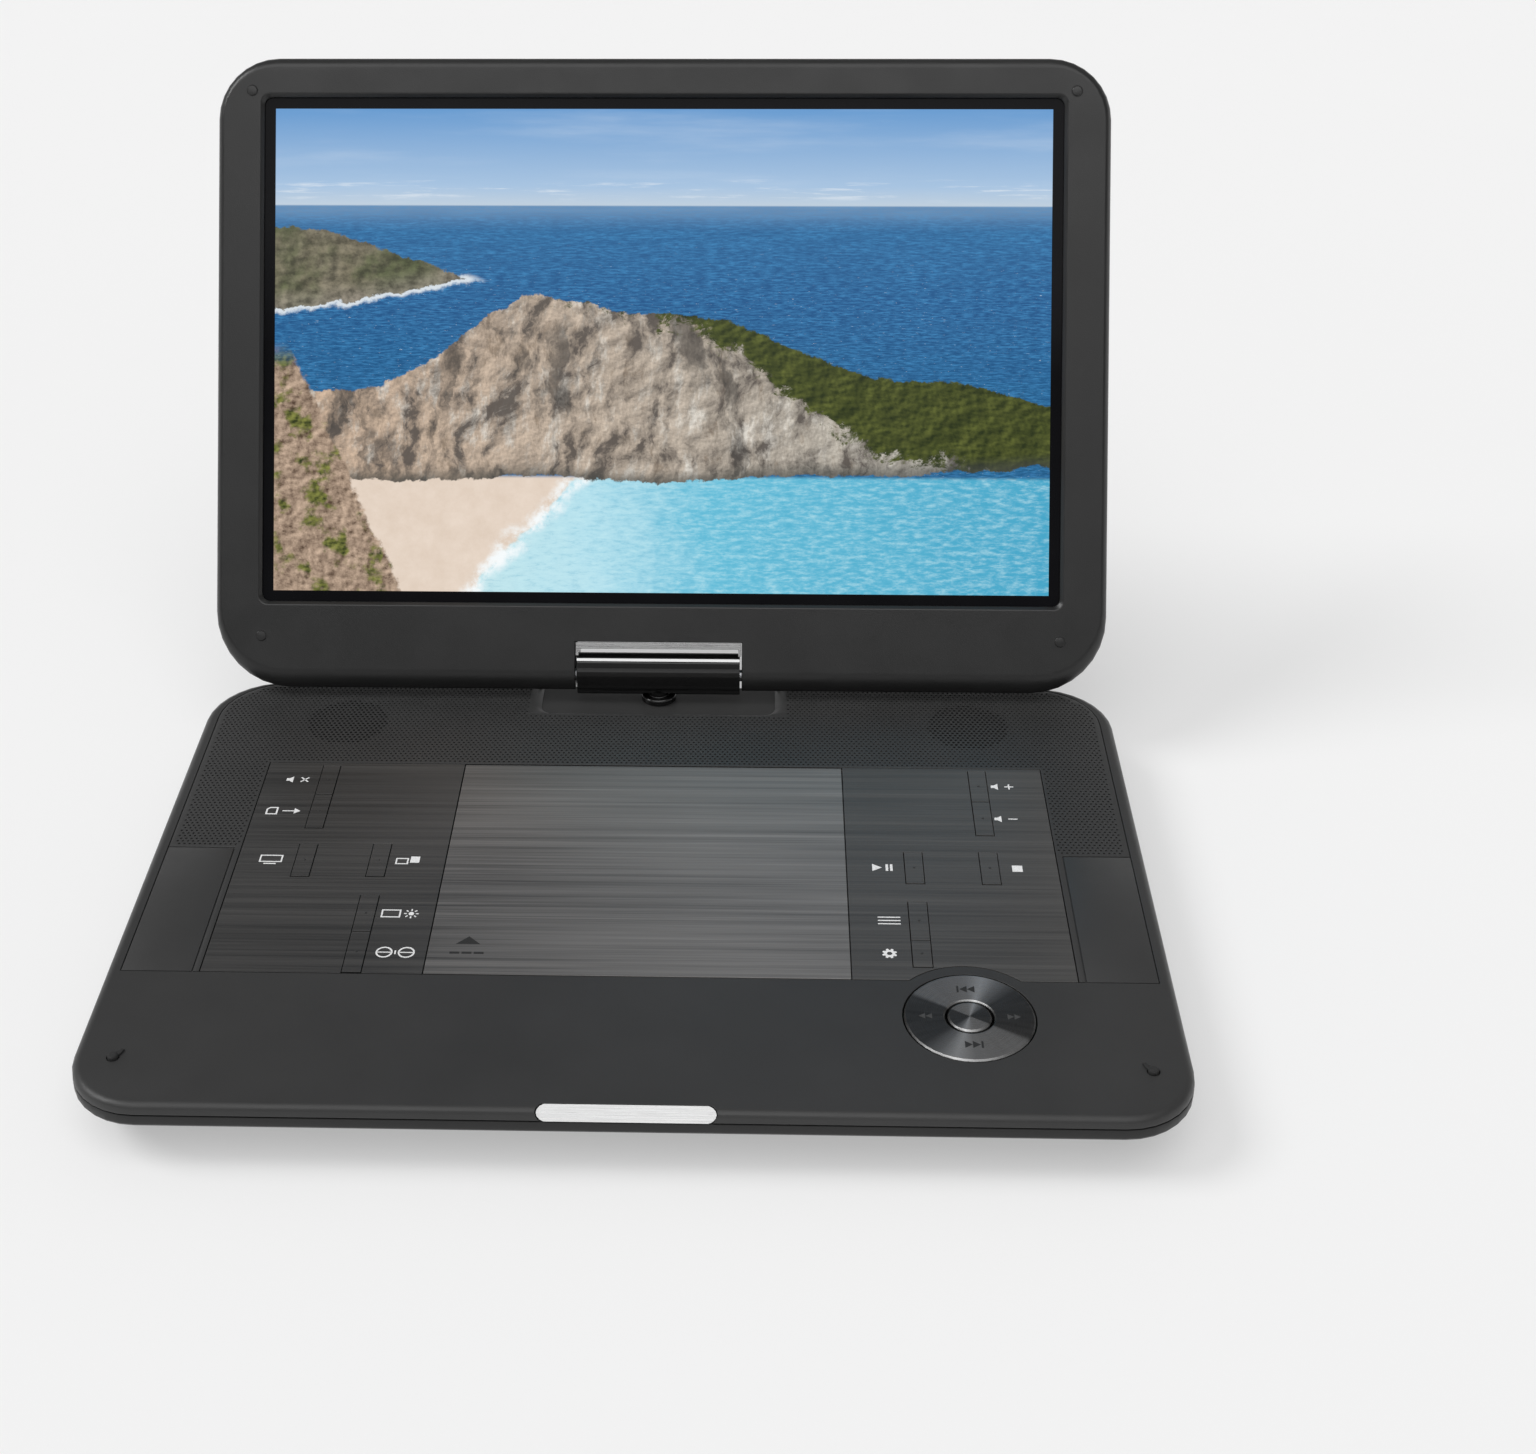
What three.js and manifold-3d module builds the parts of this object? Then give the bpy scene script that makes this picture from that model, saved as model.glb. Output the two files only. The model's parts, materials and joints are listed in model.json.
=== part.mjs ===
// A portable DVD player with a large swivelling screen, standing open on its feet.
// Millimetres. +X is the viewer's right, +Y is away from the viewer, +Z is up.
import * as THREE from 'three';
import { mergeVertices } from 'three/addons/utils/BufferGeometryUtils.js';
import Module from 'manifold-3d';

const wasm = await Module();
wasm.setup();

// ---------- driving dimensions ----------

const FIT = 0.3; // gap between neighbouring pieces
const PAST = 1; // how far a cutting tool runs past the face it opens
const CORNER_STEPS = 8; // straight stretches in each rounded corner
const ROUND_SIDES = 32; // sides of a round piece that shows
const SMALL_SIDES = 16; // sides of a small or hidden round piece

// The middle of the open player's depth, measured from the middle of its base.
const ORIGIN_Y = 63.2;

// Base, outside
const CASE = { left: -190, right: 190, front: -134, back: 134, frontRadius: 26, backRadius: 30 };
const FOOT_REACH = 2; // feet stand this far below the case
const FLOOR_Z = 4; // top of the case's floor
const SEAM_Z = 22.5; // top edge of the bottom case
const COVER_Z = 22.8; // lower edge of the top cover
const PLATE_Z = 23.2; // underside of the cover's recessed plate
const RECESS_Z = 25; // floor that the panels lie on
const PANEL_Z = 25.3; // underside of the panels
const TOP_Z = 27; // top face of the base

// Panels and disc lid on the base's top
const DECK = { left: -184.6, right: 184.6, front: -63.6, back: 131, frontRadius: 0.2, backRadius: 27 };
const PANEL = { inner: 76.6, outer: 156.2, front: -63.6, back: 70.2 };
const DECK_INNER_X = 156.6;
const DECK_INNER_Y = 70.6;
const SIDE_FIELD = { x: 159, back: 11.2 }; // plain field at the front of each side strip
const GROOVE = { half: 0.25, depth: 0.6 };
const LID = { halfWidth: 76.2, front: -63.4, bottom: 25.2 };
const LID_AXIS = { y: 69.2, z: 26 };
const LID_PIN_RADIUS = 0.5;

// Keys: the middle, front and back of each, with the gap round it inside the panel's outline
const KEY_HALF_WIDTH = 3.4;
const KEY_TOP_Z = 27.2;
const OUTER_COLUMN = 130.6;
const INNER_COLUMN = 102;
const KEYS = [
  { name: 'key_mute', x: -OUTER_COLUMN, front: 47.6, back: 68.1 },
  { name: 'key_source', x: -OUTER_COLUMN, front: 24.7, back: 47.2 },
  { name: 'key_screen', x: -OUTER_COLUMN, front: -6.8, back: 14 },
  { name: 'key_mode', x: -INNER_COLUMN, front: -6.4, back: 14.4 },
  { name: 'key_display', x: -INNER_COLUMN, front: -39.8, back: -18.2 },
  { name: 'key_language', x: -INNER_COLUMN, front: -63.2, back: -40.2 },
  { name: 'key_volume_up', x: OUTER_COLUMN, front: 47, back: 68.3 },
  { name: 'key_volume_down', x: OUTER_COLUMN, front: 24.3, back: 46.6 },
  { name: 'key_stop', x: OUTER_COLUMN, front: -7, back: 13 },
  { name: 'key_play', x: INNER_COLUMN, front: -7, back: 12.6 },
  { name: 'key_menu', x: INNER_COLUMN, front: -41, back: -18.4 },
  { name: 'key_setup', x: INNER_COLUMN, front: -56.4, back: -41.4 },
];

// Direction ring
const DPAD = { x: 116.5, y: -83.4, radius: 22.9, buttonRadius: 7.8, surroundRadius: 28 };
const DPAD_HOLE_RADIUS = 8.5; // the ring's hole, round the centre key

// Speakers
const SPEAKER = { x: 129.5, y: 101, radius: 16.5 };

// Disc drive
const DISC_RADIUS = 60;
const SPINDLE = { x: 0, y: 3 };
const SHAFT_RADIUS = 1.5;
const RAIL = { x: 16.5, z: 14.9, radius: 1.2 };
const LENS_RADIUS = 3.6;

// Hinge
const SWIVEL_Y = 125.5;
const TILT_AXIS = { y: 127, z: 35.5 };
const REST_TILT = 30; // degrees back from upright
const POST_RADIUS = 4.4;
const COLLAR_RADIUS = 7.5;
const BARREL_HALF_LENGTH = 34.5;
const PIN_RADIUS = 2.5;
const BARREL_SWEEP = 10.4; // nothing on the screen comes nearer the tilt axis than this at the notch
const NOTCH = { halfWidth: 33.8, top: 11 };
const NOTCH_TRIM = { side: 1.2, top: 2.6 };

// Screen, in its own frame: x across, y up the screen from the tilt axis, z out of its face
const SCREEN = { left: -189, right: 189, front: -6.5, back: 261, frontRadius: 32, backRadius: 26 };
const SCREEN_HALF_THICKNESS = 6.5;
const SCREEN_SEAM = 1;
const SCREEN_WALL = 1.8;
const PICTURE = { halfWidth: 164.4, halfHeight: 102.3, middle: 137 };
const PICTURE_BORDER = 4.5;
const GLASS_FACE = 4.3;

// Sockets in the right side
const BAY = { x: 186.8, front: -36, back: 94, bottom: 9.6, top: 17.4 };
const PORT_Z = 13.2;
const PORT_BACK = 183.2;
const PORTS = { card: -20, usb: 10, earphone: 32, av: 48, power: 67, dc: 86 };

// ---------- materials ----------

function finish(color, roughness, metalness = 0) {
  return new THREE.MeshStandardMaterial({ color, roughness, metalness });
}

const MATERIALS = {
  casing: finish(0x2b2b2c, 0.55),
  panel: finish(0x303031, 0.45),
  brushed: finish(0x55565a, 0.35, 0.3),
  key: finish(0x262627, 0.4),
  glossBlack: finish(0x0c0c0d, 0.12),
  brightTrim: finish(0xc9cbce, 0.3, 0.6),
  rubber: finish(0x161616, 0.9),
  glass: finish(0x0a0b10, 0.08),
  steel: finish(0x9a9da2, 0.35, 0.9),
  board: finish(0x1f5a36, 0.6),
  battery: finish(0x2d4f8a, 0.5),
  acrylic: finish(0xe8ecee, 0.2),
  connector: finish(0x1a1a1b, 0.5),
};

// ---------- shapes ----------

function solidOf(geometry) {
  const bare = geometry.clone();
  bare.deleteAttribute('normal');
  bare.deleteAttribute('uv');
  const merged = mergeVertices(bare, 1e-4);
  const mesh = new wasm.Mesh({
    numProp: 3,
    vertProperties: new Float32Array(merged.attributes.position.array),
    triVerts: new Uint32Array(merged.index.array),
  });
  return new wasm.Manifold(mesh);
}

function geometryOf(solid) {
  const mesh = solid.getMesh();
  const geometry = new THREE.BufferGeometry();
  geometry.setAttribute('position', new THREE.BufferAttribute(new Float32Array(mesh.vertProperties), 3));
  geometry.setIndex(new THREE.BufferAttribute(new Uint32Array(mesh.triVerts), 1));
  geometry.computeVertexNormals();
  return geometry;
}

function join(first, ...others) {
  return geometryOf(others.reduce((solid, other) => solid.add(solidOf(other)), solidOf(first)));
}

function cut(first, ...tools) {
  return geometryOf(tools.reduce((solid, tool) => solid.subtract(solidOf(tool)), solidOf(first)));
}

function common(first, second) {
  return geometryOf(solidOf(first).intersect(solidOf(second)));
}

// Two coordinates in rising order, whichever side of the middle they lie on.
function between(a, b) {
  return [Math.min(a, b), Math.max(a, b)];
}

function block(x0, x1, y0, y1, z0, z1) {
  const geometry = new THREE.BoxGeometry(x1 - x0, y1 - y0, z1 - z0);
  return geometry.translate((x0 + x1) / 2, (y0 + y1) / 2, (z0 + z1) / 2);
}

// A round bar from low to high along one axis, centred on the other two coordinates.
function barX(radius, low, high, y, z, sides = SMALL_SIDES) {
  const geometry = new THREE.CylinderGeometry(radius, radius, high - low, sides);
  return geometry.rotateZ(Math.PI / 2).translate((low + high) / 2, y, z);
}

function barY(radius, low, high, x, z, sides = SMALL_SIDES) {
  const geometry = new THREE.CylinderGeometry(radius, radius, high - low, sides);
  return geometry.translate(x, (low + high) / 2, z);
}

function barZ(radius, low, high, x, y, sides = SMALL_SIDES) {
  const geometry = new THREE.CylinderGeometry(radius, radius, high - low, sides);
  return geometry.rotateX(Math.PI / 2).translate(x, y, (low + high) / 2);
}

// A piece turned about a vertical axis, from [radius, height] points.
function turned(points, x, y, sides = ROUND_SIDES) {
  const profile = points.map(([radius, z]) => new THREE.Vector2(radius, z));
  return new THREE.LatheGeometry(profile, sides).rotateX(Math.PI / 2).translate(x, y, 0);
}

function polygon(points) {
  return new THREE.Shape(points.map(([x, y]) => new THREE.Vector2(x, y)));
}

function slab(shape, z0, z1, curveSegments = CORNER_STEPS / 2) {
  const options = { depth: z1 - z0, bevelEnabled: false, curveSegments };
  return new THREE.ExtrudeGeometry(shape, options).translate(0, 0, z0);
}

// A section drawn in Y and Z, extruded along X.
function alongX(shape, x0, x1, curveSegments = CORNER_STEPS / 2) {
  const turn = new THREE.Matrix4().makeBasis(
    new THREE.Vector3(0, 1, 0),
    new THREE.Vector3(0, 0, 1),
    new THREE.Vector3(1, 0, 0),
  );
  return slab(shape, x0, x1, curveSegments).applyMatrix4(turn);
}

// The points of a rounded outline at height z, anticlockwise seen from above.
function ring({ left, right, front, back, frontRadius, backRadius }, z) {
  const corners = [
    [right - frontRadius, front + frontRadius, frontRadius, -90],
    [right - backRadius, back - backRadius, backRadius, 0],
    [left + backRadius, back - backRadius, backRadius, 90],
    [left + frontRadius, front + frontRadius, frontRadius, 180],
  ];
  const points = [];
  for (const [x, y, radius, start] of corners) {
    for (let step = 0; step <= CORNER_STEPS; step += 1) {
      const angle = THREE.MathUtils.degToRad(start + (90 * step) / CORNER_STEPS);
      points.push([x + radius * Math.cos(angle), y + radius * Math.sin(angle), z]);
    }
  }
  return points;
}

// The same outline drawn in from each side, at height z.
function insetRing(outline, { z, side, front = side, back = side }) {
  const drawnIn = {
    left: outline.left + side,
    right: outline.right - side,
    front: outline.front + front,
    back: outline.back - back,
    frontRadius: Math.max(outline.frontRadius - (side + front) / 2, 0.5),
    backRadius: Math.max(outline.backRadius - (side + back) / 2, 0.5),
  };
  return ring(drawnIn, z);
}

// A closed body through a stack of rings, lowest first.
function loft(rings) {
  const count = rings[0].length;
  const positions = rings.flat(2);
  const indices = [];
  for (let level = 0; level + 1 < rings.length; level += 1) {
    for (let i = 0; i < count; i += 1) {
      const low = level * count + i;
      const lowNext = level * count + ((i + 1) % count);
      indices.push(low, lowNext, lowNext + count, low, lowNext + count, low + count);
    }
  }
  const top = (rings.length - 1) * count;
  for (let i = 1; i + 1 < count; i += 1) {
    indices.push(0, i + 1, i, top, top + i, top + i + 1);
  }
  const geometry = new THREE.BufferGeometry();
  geometry.setAttribute('position', new THREE.Float32BufferAttribute(positions, 3));
  geometry.setIndex(indices);
  geometry.computeVertexNormals();
  return geometry;
}

function loftInset(outline, levels) {
  return loft(levels.map((level) => insetRing(outline, level)));
}

const model = new THREE.Group();
const base = new THREE.Group();
const swivel = new THREE.Group();
const screen = new THREE.Group();
model.add(base, swivel, screen);
model.position.y = -ORIGIN_Y;
swivel.position.y = SWIVEL_Y;
screen.position.set(0, TILT_AXIS.y, TILT_AXIS.z);
screen.rotation.x = THREE.MathUtils.degToRad(90 - REST_TILT);

function addPiece(parent, name, geometry, material) {
  const mesh = new THREE.Mesh(geometry, material);
  mesh.name = name;
  parent.add(mesh);
}

// ---------- base: casing ----------

const FEET = [
  { name: 'foot_front_left', x: -158, y: -90 },
  { name: 'foot_front_right', x: 158, y: -90 },
  { name: 'foot_back_left', x: -158, y: 100 },
  { name: 'foot_back_right', x: 158, y: 100 },
];
const FOOT_RADIUS = 8;
const FOOT_POCKET_Z = 3;

const BUMPERS = [
  { name: 'bumper_left', x: -175.9, y: -110 },
  { name: 'bumper_right', x: 175.9, y: -110 },
];
const BUMPER_RADIUS = 1.9;
const BUMPER_TOP_Z = 28.4;

const caseOuter = loftInset(CASE, [
  { z: FOOT_REACH, side: 9, front: 27, back: 15 },
  { z: 3.2, side: 7, front: 24, back: 12.5 },
  { z: 9, side: 3, front: 13, back: 6 },
  { z: 17.5, side: 0.5, front: 1.2, back: 0.6 },
  { z: 19, side: 0 },
  { z: SEAM_Z, side: 0 },
]);

const caseInner = loftInset(CASE, [
  { z: FLOOR_Z, side: 9, front: 27, back: 15 },
  { z: 9.5, side: 5, front: 16, back: 8.5 },
  { z: 18, side: 2.6, front: 3.6, back: 2.8 },
  { z: SEAM_Z + PAST, side: 2 },
]);

// Screw posts under the cover, short posts under the drive and the hinge plate.
function casePosts() {
  const screwPosts = [[172, 108], [168, -92], [60, 100], [40, -96]];
  const drivePosts = [[23, -68], [23, 18]];
  const posts = [];
  for (const side of [-1, 1]) {
    for (const [x, y] of screwPosts) {
      posts.push(barZ(3.6, FLOOR_Z - PAST, SEAM_Z - FIT, side * x, y, 10));
    }
    for (const [x, y] of drivePosts) {
      posts.push(barZ(2.5, FLOOR_Z - PAST, 11.3, side * x, y, 10));
    }
    posts.push(barZ(3.5, FLOOR_Z - PAST, 18.9, side * 20, 120, 10));
  }
  return posts;
}

function ventSlots() {
  const [count, pitch, halfWidth] = [8, 10, 1.5];
  const slots = [];
  for (let i = 0; i < count; i += 1) {
    const x = (i - (count - 1) / 2) * pitch;
    slots.push(block(x - halfWidth, x + halfWidth, 82, 106, FOOT_REACH - PAST, FLOOR_Z + PAST));
  }
  return slots;
}

function portHoles() {
  const through = [PORT_BACK, BAY.x + PAST];
  const round = (radius, y) => barX(radius, through[0] - PAST, through[1], y, PORT_Z);
  const flat = (halfY, halfZ, y) =>
    block(through[0] - PAST, through[1], y - halfY, y + halfY, PORT_Z - halfZ, PORT_Z + halfZ);
  return [
    round(3.5, PORTS.dc),
    round(3.2, PORTS.av),
    round(3.2, PORTS.earphone),
    flat(6.9, 3.2, PORTS.usb),
    flat(13.5, 2.1, PORTS.card),
    flat(5, 2.2, PORTS.power),
  ];
}

function bottomCase() {
  const hollow = cut(caseOuter, caseInner);
  const wallFront = BAY.front - 4;
  const wallBack = BAY.back + 4;
  const portWall = block(PORT_BACK + FIT, BAY.x + PAST, wallFront, wallBack, FLOOR_Z - PAST, 20);
  const inside = common(join(portWall, ...casePosts()), caseOuter);
  const bay = block(BAY.x, CASE.right + PAST, BAY.front, BAY.back, BAY.bottom, BAY.top);
  const footPockets = FEET.map(({ x, y }) =>
    barZ(FOOT_RADIUS + FIT, FOOT_REACH - PAST, FOOT_POCKET_Z, x, y, ROUND_SIDES));
  return cut(join(hollow, inside), bay, ...footPockets, ...ventSlots(), ...portHoles());
}

// The region that is sunk below the top face for the panels, with the surround of the
// direction ring standing up into it.
function panelRecess() {
  const region = loftInset(DECK, [{ z: RECESS_Z, side: -FIT }, { z: TOP_Z + PAST, side: -FIT }]);
  const surround = barZ(DPAD.surroundRadius - FIT, RECESS_Z - PAST, TOP_Z + 2 * PAST, DPAD.x, DPAD.y, 48);
  return cut(region, surround);
}

function keyHole({ x, front, back }, z0, z1) {
  const halfWidth = KEY_HALF_WIDTH + FIT;
  return block(x - halfWidth, x + halfWidth, front - FIT, back + FIT, z0, z1);
}

// A wedge along the front edge under a sloping face, with rounded ends.
function frontWedge(grow) {
  const [halfLength, halfWidth, steps] = [30 + grow, 3.2 + grow, 8];
  const rightEnd = [];
  for (let step = 0; step <= steps; step += 1) {
    const angle = Math.PI * (step / steps - 0.5);
    rightEnd.push([halfLength - 4.5 * (1 - Math.cos(angle)), halfWidth * Math.sin(angle)]);
  }
  const leftEnd = rightEnd.map(([x, y]) => [-x, -y]);
  const outline = polygon([...rightEnd, ...leftEnd]);
  const slope = Math.PI / 4;
  const reach = 4.15; // the sloping face's run and its drop
  const lens = slab(outline, -6, 6)
    .rotateX(slope)
    .translate(0, CASE.front + reach / 2, TOP_Z - reach / 2);
  const section = grow > 0
    ? polygon([
      [CASE.front + reach + grow, TOP_Z + PAST],
      [CASE.front - PAST, TOP_Z + PAST],
      [CASE.front - PAST, COVER_Z - PAST],
      [CASE.front + reach + grow, COVER_Z - PAST],
    ])
    : polygon([
      [CASE.front + reach, TOP_Z],
      [CASE.front, TOP_Z - reach],
      [CASE.front + reach, TOP_Z - reach],
    ]);
  return common(alongX(section, -40, 40), lens);
}

function topCover() {
  const outer = loftInset(CASE, [
    { z: COVER_Z, side: 0.3 },
    { z: 23.3, side: 0 },
    { z: 25.2, side: 0.2 },
    { z: 26.2, side: 1 },
    { z: 26.8, side: 2.1 },
    { z: TOP_Z, side: 3.2 },
  ]);
  const underside = loftInset(CASE, [{ z: COVER_Z - PAST, side: 2 }, { z: PLATE_Z, side: 2 }]);
  const palmPocket = loftInset(
    { left: CASE.left, right: CASE.right, front: CASE.front, back: -64, frontRadius: 26, backRadius: 4 },
    [{ z: COVER_Z - PAST, side: 2.5 }, { z: RECESS_Z, side: 2.5 }],
  );
  const discWell = block(-74, 74, -61.5, DECK_INNER_Y + 0.4, PLATE_Z - PAST, RECESS_Z + PAST);
  const ringHole = barZ(DPAD.radius + 0.4, COVER_Z - PAST, TOP_Z + PAST, DPAD.x, DPAD.y, 40);
  const keyHoles = KEYS.map((key) => keyHole(key, PLATE_Z - PAST, RECESS_Z + PAST));
  const speakerHoles = [-1, 1].map((side) =>
    barZ(SPEAKER.radius - 1, PLATE_Z - PAST, RECESS_Z + PAST, side * SPEAKER.x, SPEAKER.y));
  const postHole = barZ(POST_RADIUS + 0.4, PLATE_Z - PAST, RECESS_Z + PAST, 0, SWIVEL_Y);
  const hingeGap = block(-50, 50, DECK.back - 3, CASE.back + PAST, RECESS_Z, TOP_Z + PAST);
  const bumperPockets = BUMPERS.map(({ x, y }) =>
    barZ(BUMPER_RADIUS + FIT, 25.5, TOP_Z + PAST, x, y));
  return cut(
    outer,
    underside,
    palmPocket,
    panelRecess(),
    discWell,
    ringHole,
    ...keyHoles,
    ...speakerHoles,
    postHole,
    hingeGap,
    ...bumperPockets,
    frontWedge(0.25),
  );
}

function deckPanel() {
  const { left, right, front, back, backRadius } = DECK;
  const outline = new THREE.Shape();
  outline.moveTo(left, front);
  outline.lineTo(-DECK_INNER_X, front);
  outline.lineTo(-DECK_INNER_X, DECK_INNER_Y);
  outline.lineTo(DECK_INNER_X, DECK_INNER_Y);
  outline.lineTo(DECK_INNER_X, front);
  outline.lineTo(right, front);
  outline.absarc(right - backRadius, back - backRadius, backRadius, 0, Math.PI / 2, false);
  outline.absarc(left + backRadius, back - backRadius, backRadius, Math.PI / 2, Math.PI, false);
  const hingeRecess = loft([
    ring({ left: -49, right: 49, front: 111.8, back: 145, frontRadius: 5, backRadius: 5 }, PANEL_Z - 0.2),
    ring({ left: -53, right: 53, front: 108.8, back: 145, frontRadius: 8, backRadius: 5 }, TOP_Z + 0.2),
  ]);
  const grooves = [-1, 1].flatMap((side) => {
    const [nearX, farX] = between(side * SIDE_FIELD.x, side * (right + PAST));
    const grooveZ = [TOP_Z - GROOVE.depth, TOP_Z + PAST];
    const { x, back: end } = SIDE_FIELD;
    return [
      block(side * x - GROOVE.half, side * x + GROOVE.half, front - PAST, end, ...grooveZ),
      block(nearX, farX, end - GROOVE.half, end + GROOVE.half, ...grooveZ),
    ];
  });
  return cut(slab(outline, PANEL_Z, TOP_Z), hingeRecess, ...grooves);
}

function buttonPanel(side) {
  const [x0, x1] = between(side * PANEL.inner, side * PANEL.outer);
  const plate = block(x0, x1, PANEL.front, PANEL.back, PANEL_Z, TOP_Z);
  const holes = KEYS.filter((key) => Math.sign(key.x) === side).map((key) => {
    const meetsEdge = key.front < PANEL.front + 2;
    const opened = meetsEdge ? { ...key, front: PANEL.front - PAST } : key;
    return keyHole(opened, PANEL_Z - PAST, TOP_Z + PAST);
  });
  const pinSpan = between(side * 76, side * 79);
  const pinHole = barX(LID_PIN_RADIUS + 0.08, ...pinSpan, LID_AXIS.y, LID_AXIS.z, 10);
  const surround = barZ(DPAD.surroundRadius, PANEL_Z - PAST, TOP_Z + PAST, DPAD.x, DPAD.y, 48);
  return cut(plate, ...holes, pinHole, surround);
}

addPiece(base, 'bottom_case', bottomCase(), MATERIALS.casing);
addPiece(base, 'top_cover', topCover(), MATERIALS.casing);
addPiece(base, 'deck_panel', deckPanel(), MATERIALS.panel);
addPiece(base, 'button_panel_left', buttonPanel(-1), MATERIALS.panel);
addPiece(base, 'button_panel_right', buttonPanel(1), MATERIALS.panel);
addPiece(base, 'front_trim', frontWedge(0), MATERIALS.brightTrim);

for (const { name, x, y } of FEET) {
  const profile = [[0, 0], [7.4, 0], [FOOT_RADIUS, 0.6], [FOOT_RADIUS, 2.8], [0, 2.8]];
  addPiece(base, name, turned(profile, x, y), MATERIALS.rubber);
}

for (const { name, x, y } of BUMPERS) {
  const profile = [
    [0, 25.7],
    [BUMPER_RADIUS, 25.7],
    [BUMPER_RADIUS, BUMPER_TOP_Z - 0.6],
    [BUMPER_RADIUS - 0.6, BUMPER_TOP_Z],
    [0, BUMPER_TOP_Z],
  ];
  addPiece(base, name, turned(profile, x, y, SMALL_SIDES), MATERIALS.rubber);
}

// ---------- base: keys ----------

for (const { name, x, front, back } of KEYS) {
  const cap = block(x - KEY_HALF_WIDTH, x + KEY_HALF_WIDTH, front, back, 22, KEY_TOP_Z);
  const flange = block(x - 4.6, x + 4.6, front, back, 21.6, 22.8);
  addPiece(base, name, join(cap, flange), MATERIALS.key);
}

const BOARD_Z = [19, 20.2]; // key boards
const SWITCH_TOP_Z = 20.9;

function keyBoard(side, outline) {
  const keys = KEYS.filter((key) => Math.sign(key.x) === side);
  const spots = keys.map((key) => [key.x, (key.front + key.back) / 2]);
  if (side > 0) {
    spots.push([DPAD.x, DPAD.y]);
  }
  const switches = spots.map(([x, y]) => barZ(2.5, BOARD_Z[0] + 0.5, SWITCH_TOP_Z, x, y, 10));
  return join(block(...outline, ...BOARD_Z), ...switches);
}

addPiece(base, 'key_board_left', keyBoard(-1, [-154, -81, -66, 68]), MATERIALS.board);
addPiece(base, 'key_board_right', keyBoard(1, [81, 154, -110, 68]), MATERIALS.board);

// ---------- base: direction ring ----------

const ringProfile = [
  [DPAD_HOLE_RADIUS, 24],
  [22.5, 24],
  [DPAD.radius, 24.4],
  [DPAD.radius, 26.8],
  [22.2, 27.4],
  [DPAD_HOLE_RADIUS + 0.6, 27.4],
  [DPAD_HOLE_RADIUS, 26.9],
  [DPAD_HOLE_RADIUS, 24],
];
const centreKeyProfile = [
  [0, 21.6],
  [3, 21.6],
  [3, 24.2],
  [DPAD.buttonRadius, 24.2],
  [DPAD.buttonRadius, 26.9],
  [DPAD.buttonRadius - 0.7, 27.5],
  [0, 27.5],
];

function dpadPivot() {
  const plate = barZ(19, 21.7, 22.5, DPAD.x, DPAD.y, 24);
  const hole = barZ(5, 20, 24, DPAD.x, DPAD.y, SMALL_SIDES);
  const lugs = [-14, 14].flatMap((offset) => [
    block(DPAD.x - 1.5, DPAD.x + 1.5, DPAD.y + offset - 2, DPAD.y + offset + 2, 22, 23.7),
    block(DPAD.x + offset - 2, DPAD.x + offset + 2, DPAD.y - 1, DPAD.y + 1, 20.5, 22),
  ]);
  return cut(join(plate, ...lugs), hole);
}

addPiece(base, 'dpad_pivot', dpadPivot(), MATERIALS.connector);
addPiece(base, 'dpad_ring', turned(ringProfile, DPAD.x, DPAD.y, 40), MATERIALS.key);
addPiece(base, 'dpad_button', turned(centreKeyProfile, DPAD.x, DPAD.y, 24), MATERIALS.key);

// ---------- base: disc lid and drive ----------

function discLid() {
  const { y, z } = LID_AXIS;
  // The back edge is rounded about the hinge axis, so that it turns inside its gap.
  const section = polygon([
    [LID.front, LID.bottom],
    [y + 0.5, LID.bottom],
    [y + 0.98, z + 0.5],
    [y + 0.6, z + 0.9],
    [y, TOP_Z],
    [LID.front, TOP_Z],
  ]);
  const plate = alongX(section, -LID.halfWidth, LID.halfWidth);
  const pins = [-1, 1].map((side) => barX(LID_PIN_RADIUS, side * 76.5 - 1.1, side * 76.5 + 1.1, y, z, 10));
  const hook = block(-66, -58, -60.8, -59.4, 23.4, LID.bottom + 0.5);
  return join(plate, ...pins, hook);
}

function deckTray() {
  const body = block(-79, 79, -66, 72.5, 17.5, 22.9);
  const well = barZ(DISC_RADIUS + 2, 19, 22.9 + PAST, SPINDLE.x, SPINDLE.y, 48);
  const hubHole = barZ(16.5, 16, 20, SPINDLE.x, SPINDLE.y, 24);
  const lensSlot = block(-8, 8, -59.5, -8, 16, 20);
  const corners = [-1, 1].flatMap((side) => [[48, 70.5], [-64, -42]].map(([y0, y1]) => {
    const [x0, x1] = between(side * 52, side * 77);
    return block(x0, x1, y0, y1, 16, 21.4);
  }));
  return cut(body, well, hubHole, lensSlot, ...corners);
}

function driveChassis() {
  const plate = block(-27, 27, -72, 22, 11.6, 12.8);
  const tabs = [-1, 1].flatMap((side) => [[-72, -70.6], [-7.4, -6]].map(([y0, y1]) => {
    const [x0, x1] = between(side * 13.5, side * 20);
    return block(x0, x1, y0, y1, 12.5, 17);
  }));
  const holes = [-RAIL.x, RAIL.x].map((x) => barY(RAIL.radius + 0.1, -75, -5, x, RAIL.z));
  return cut(join(plate, ...tabs), ...holes);
}

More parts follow.
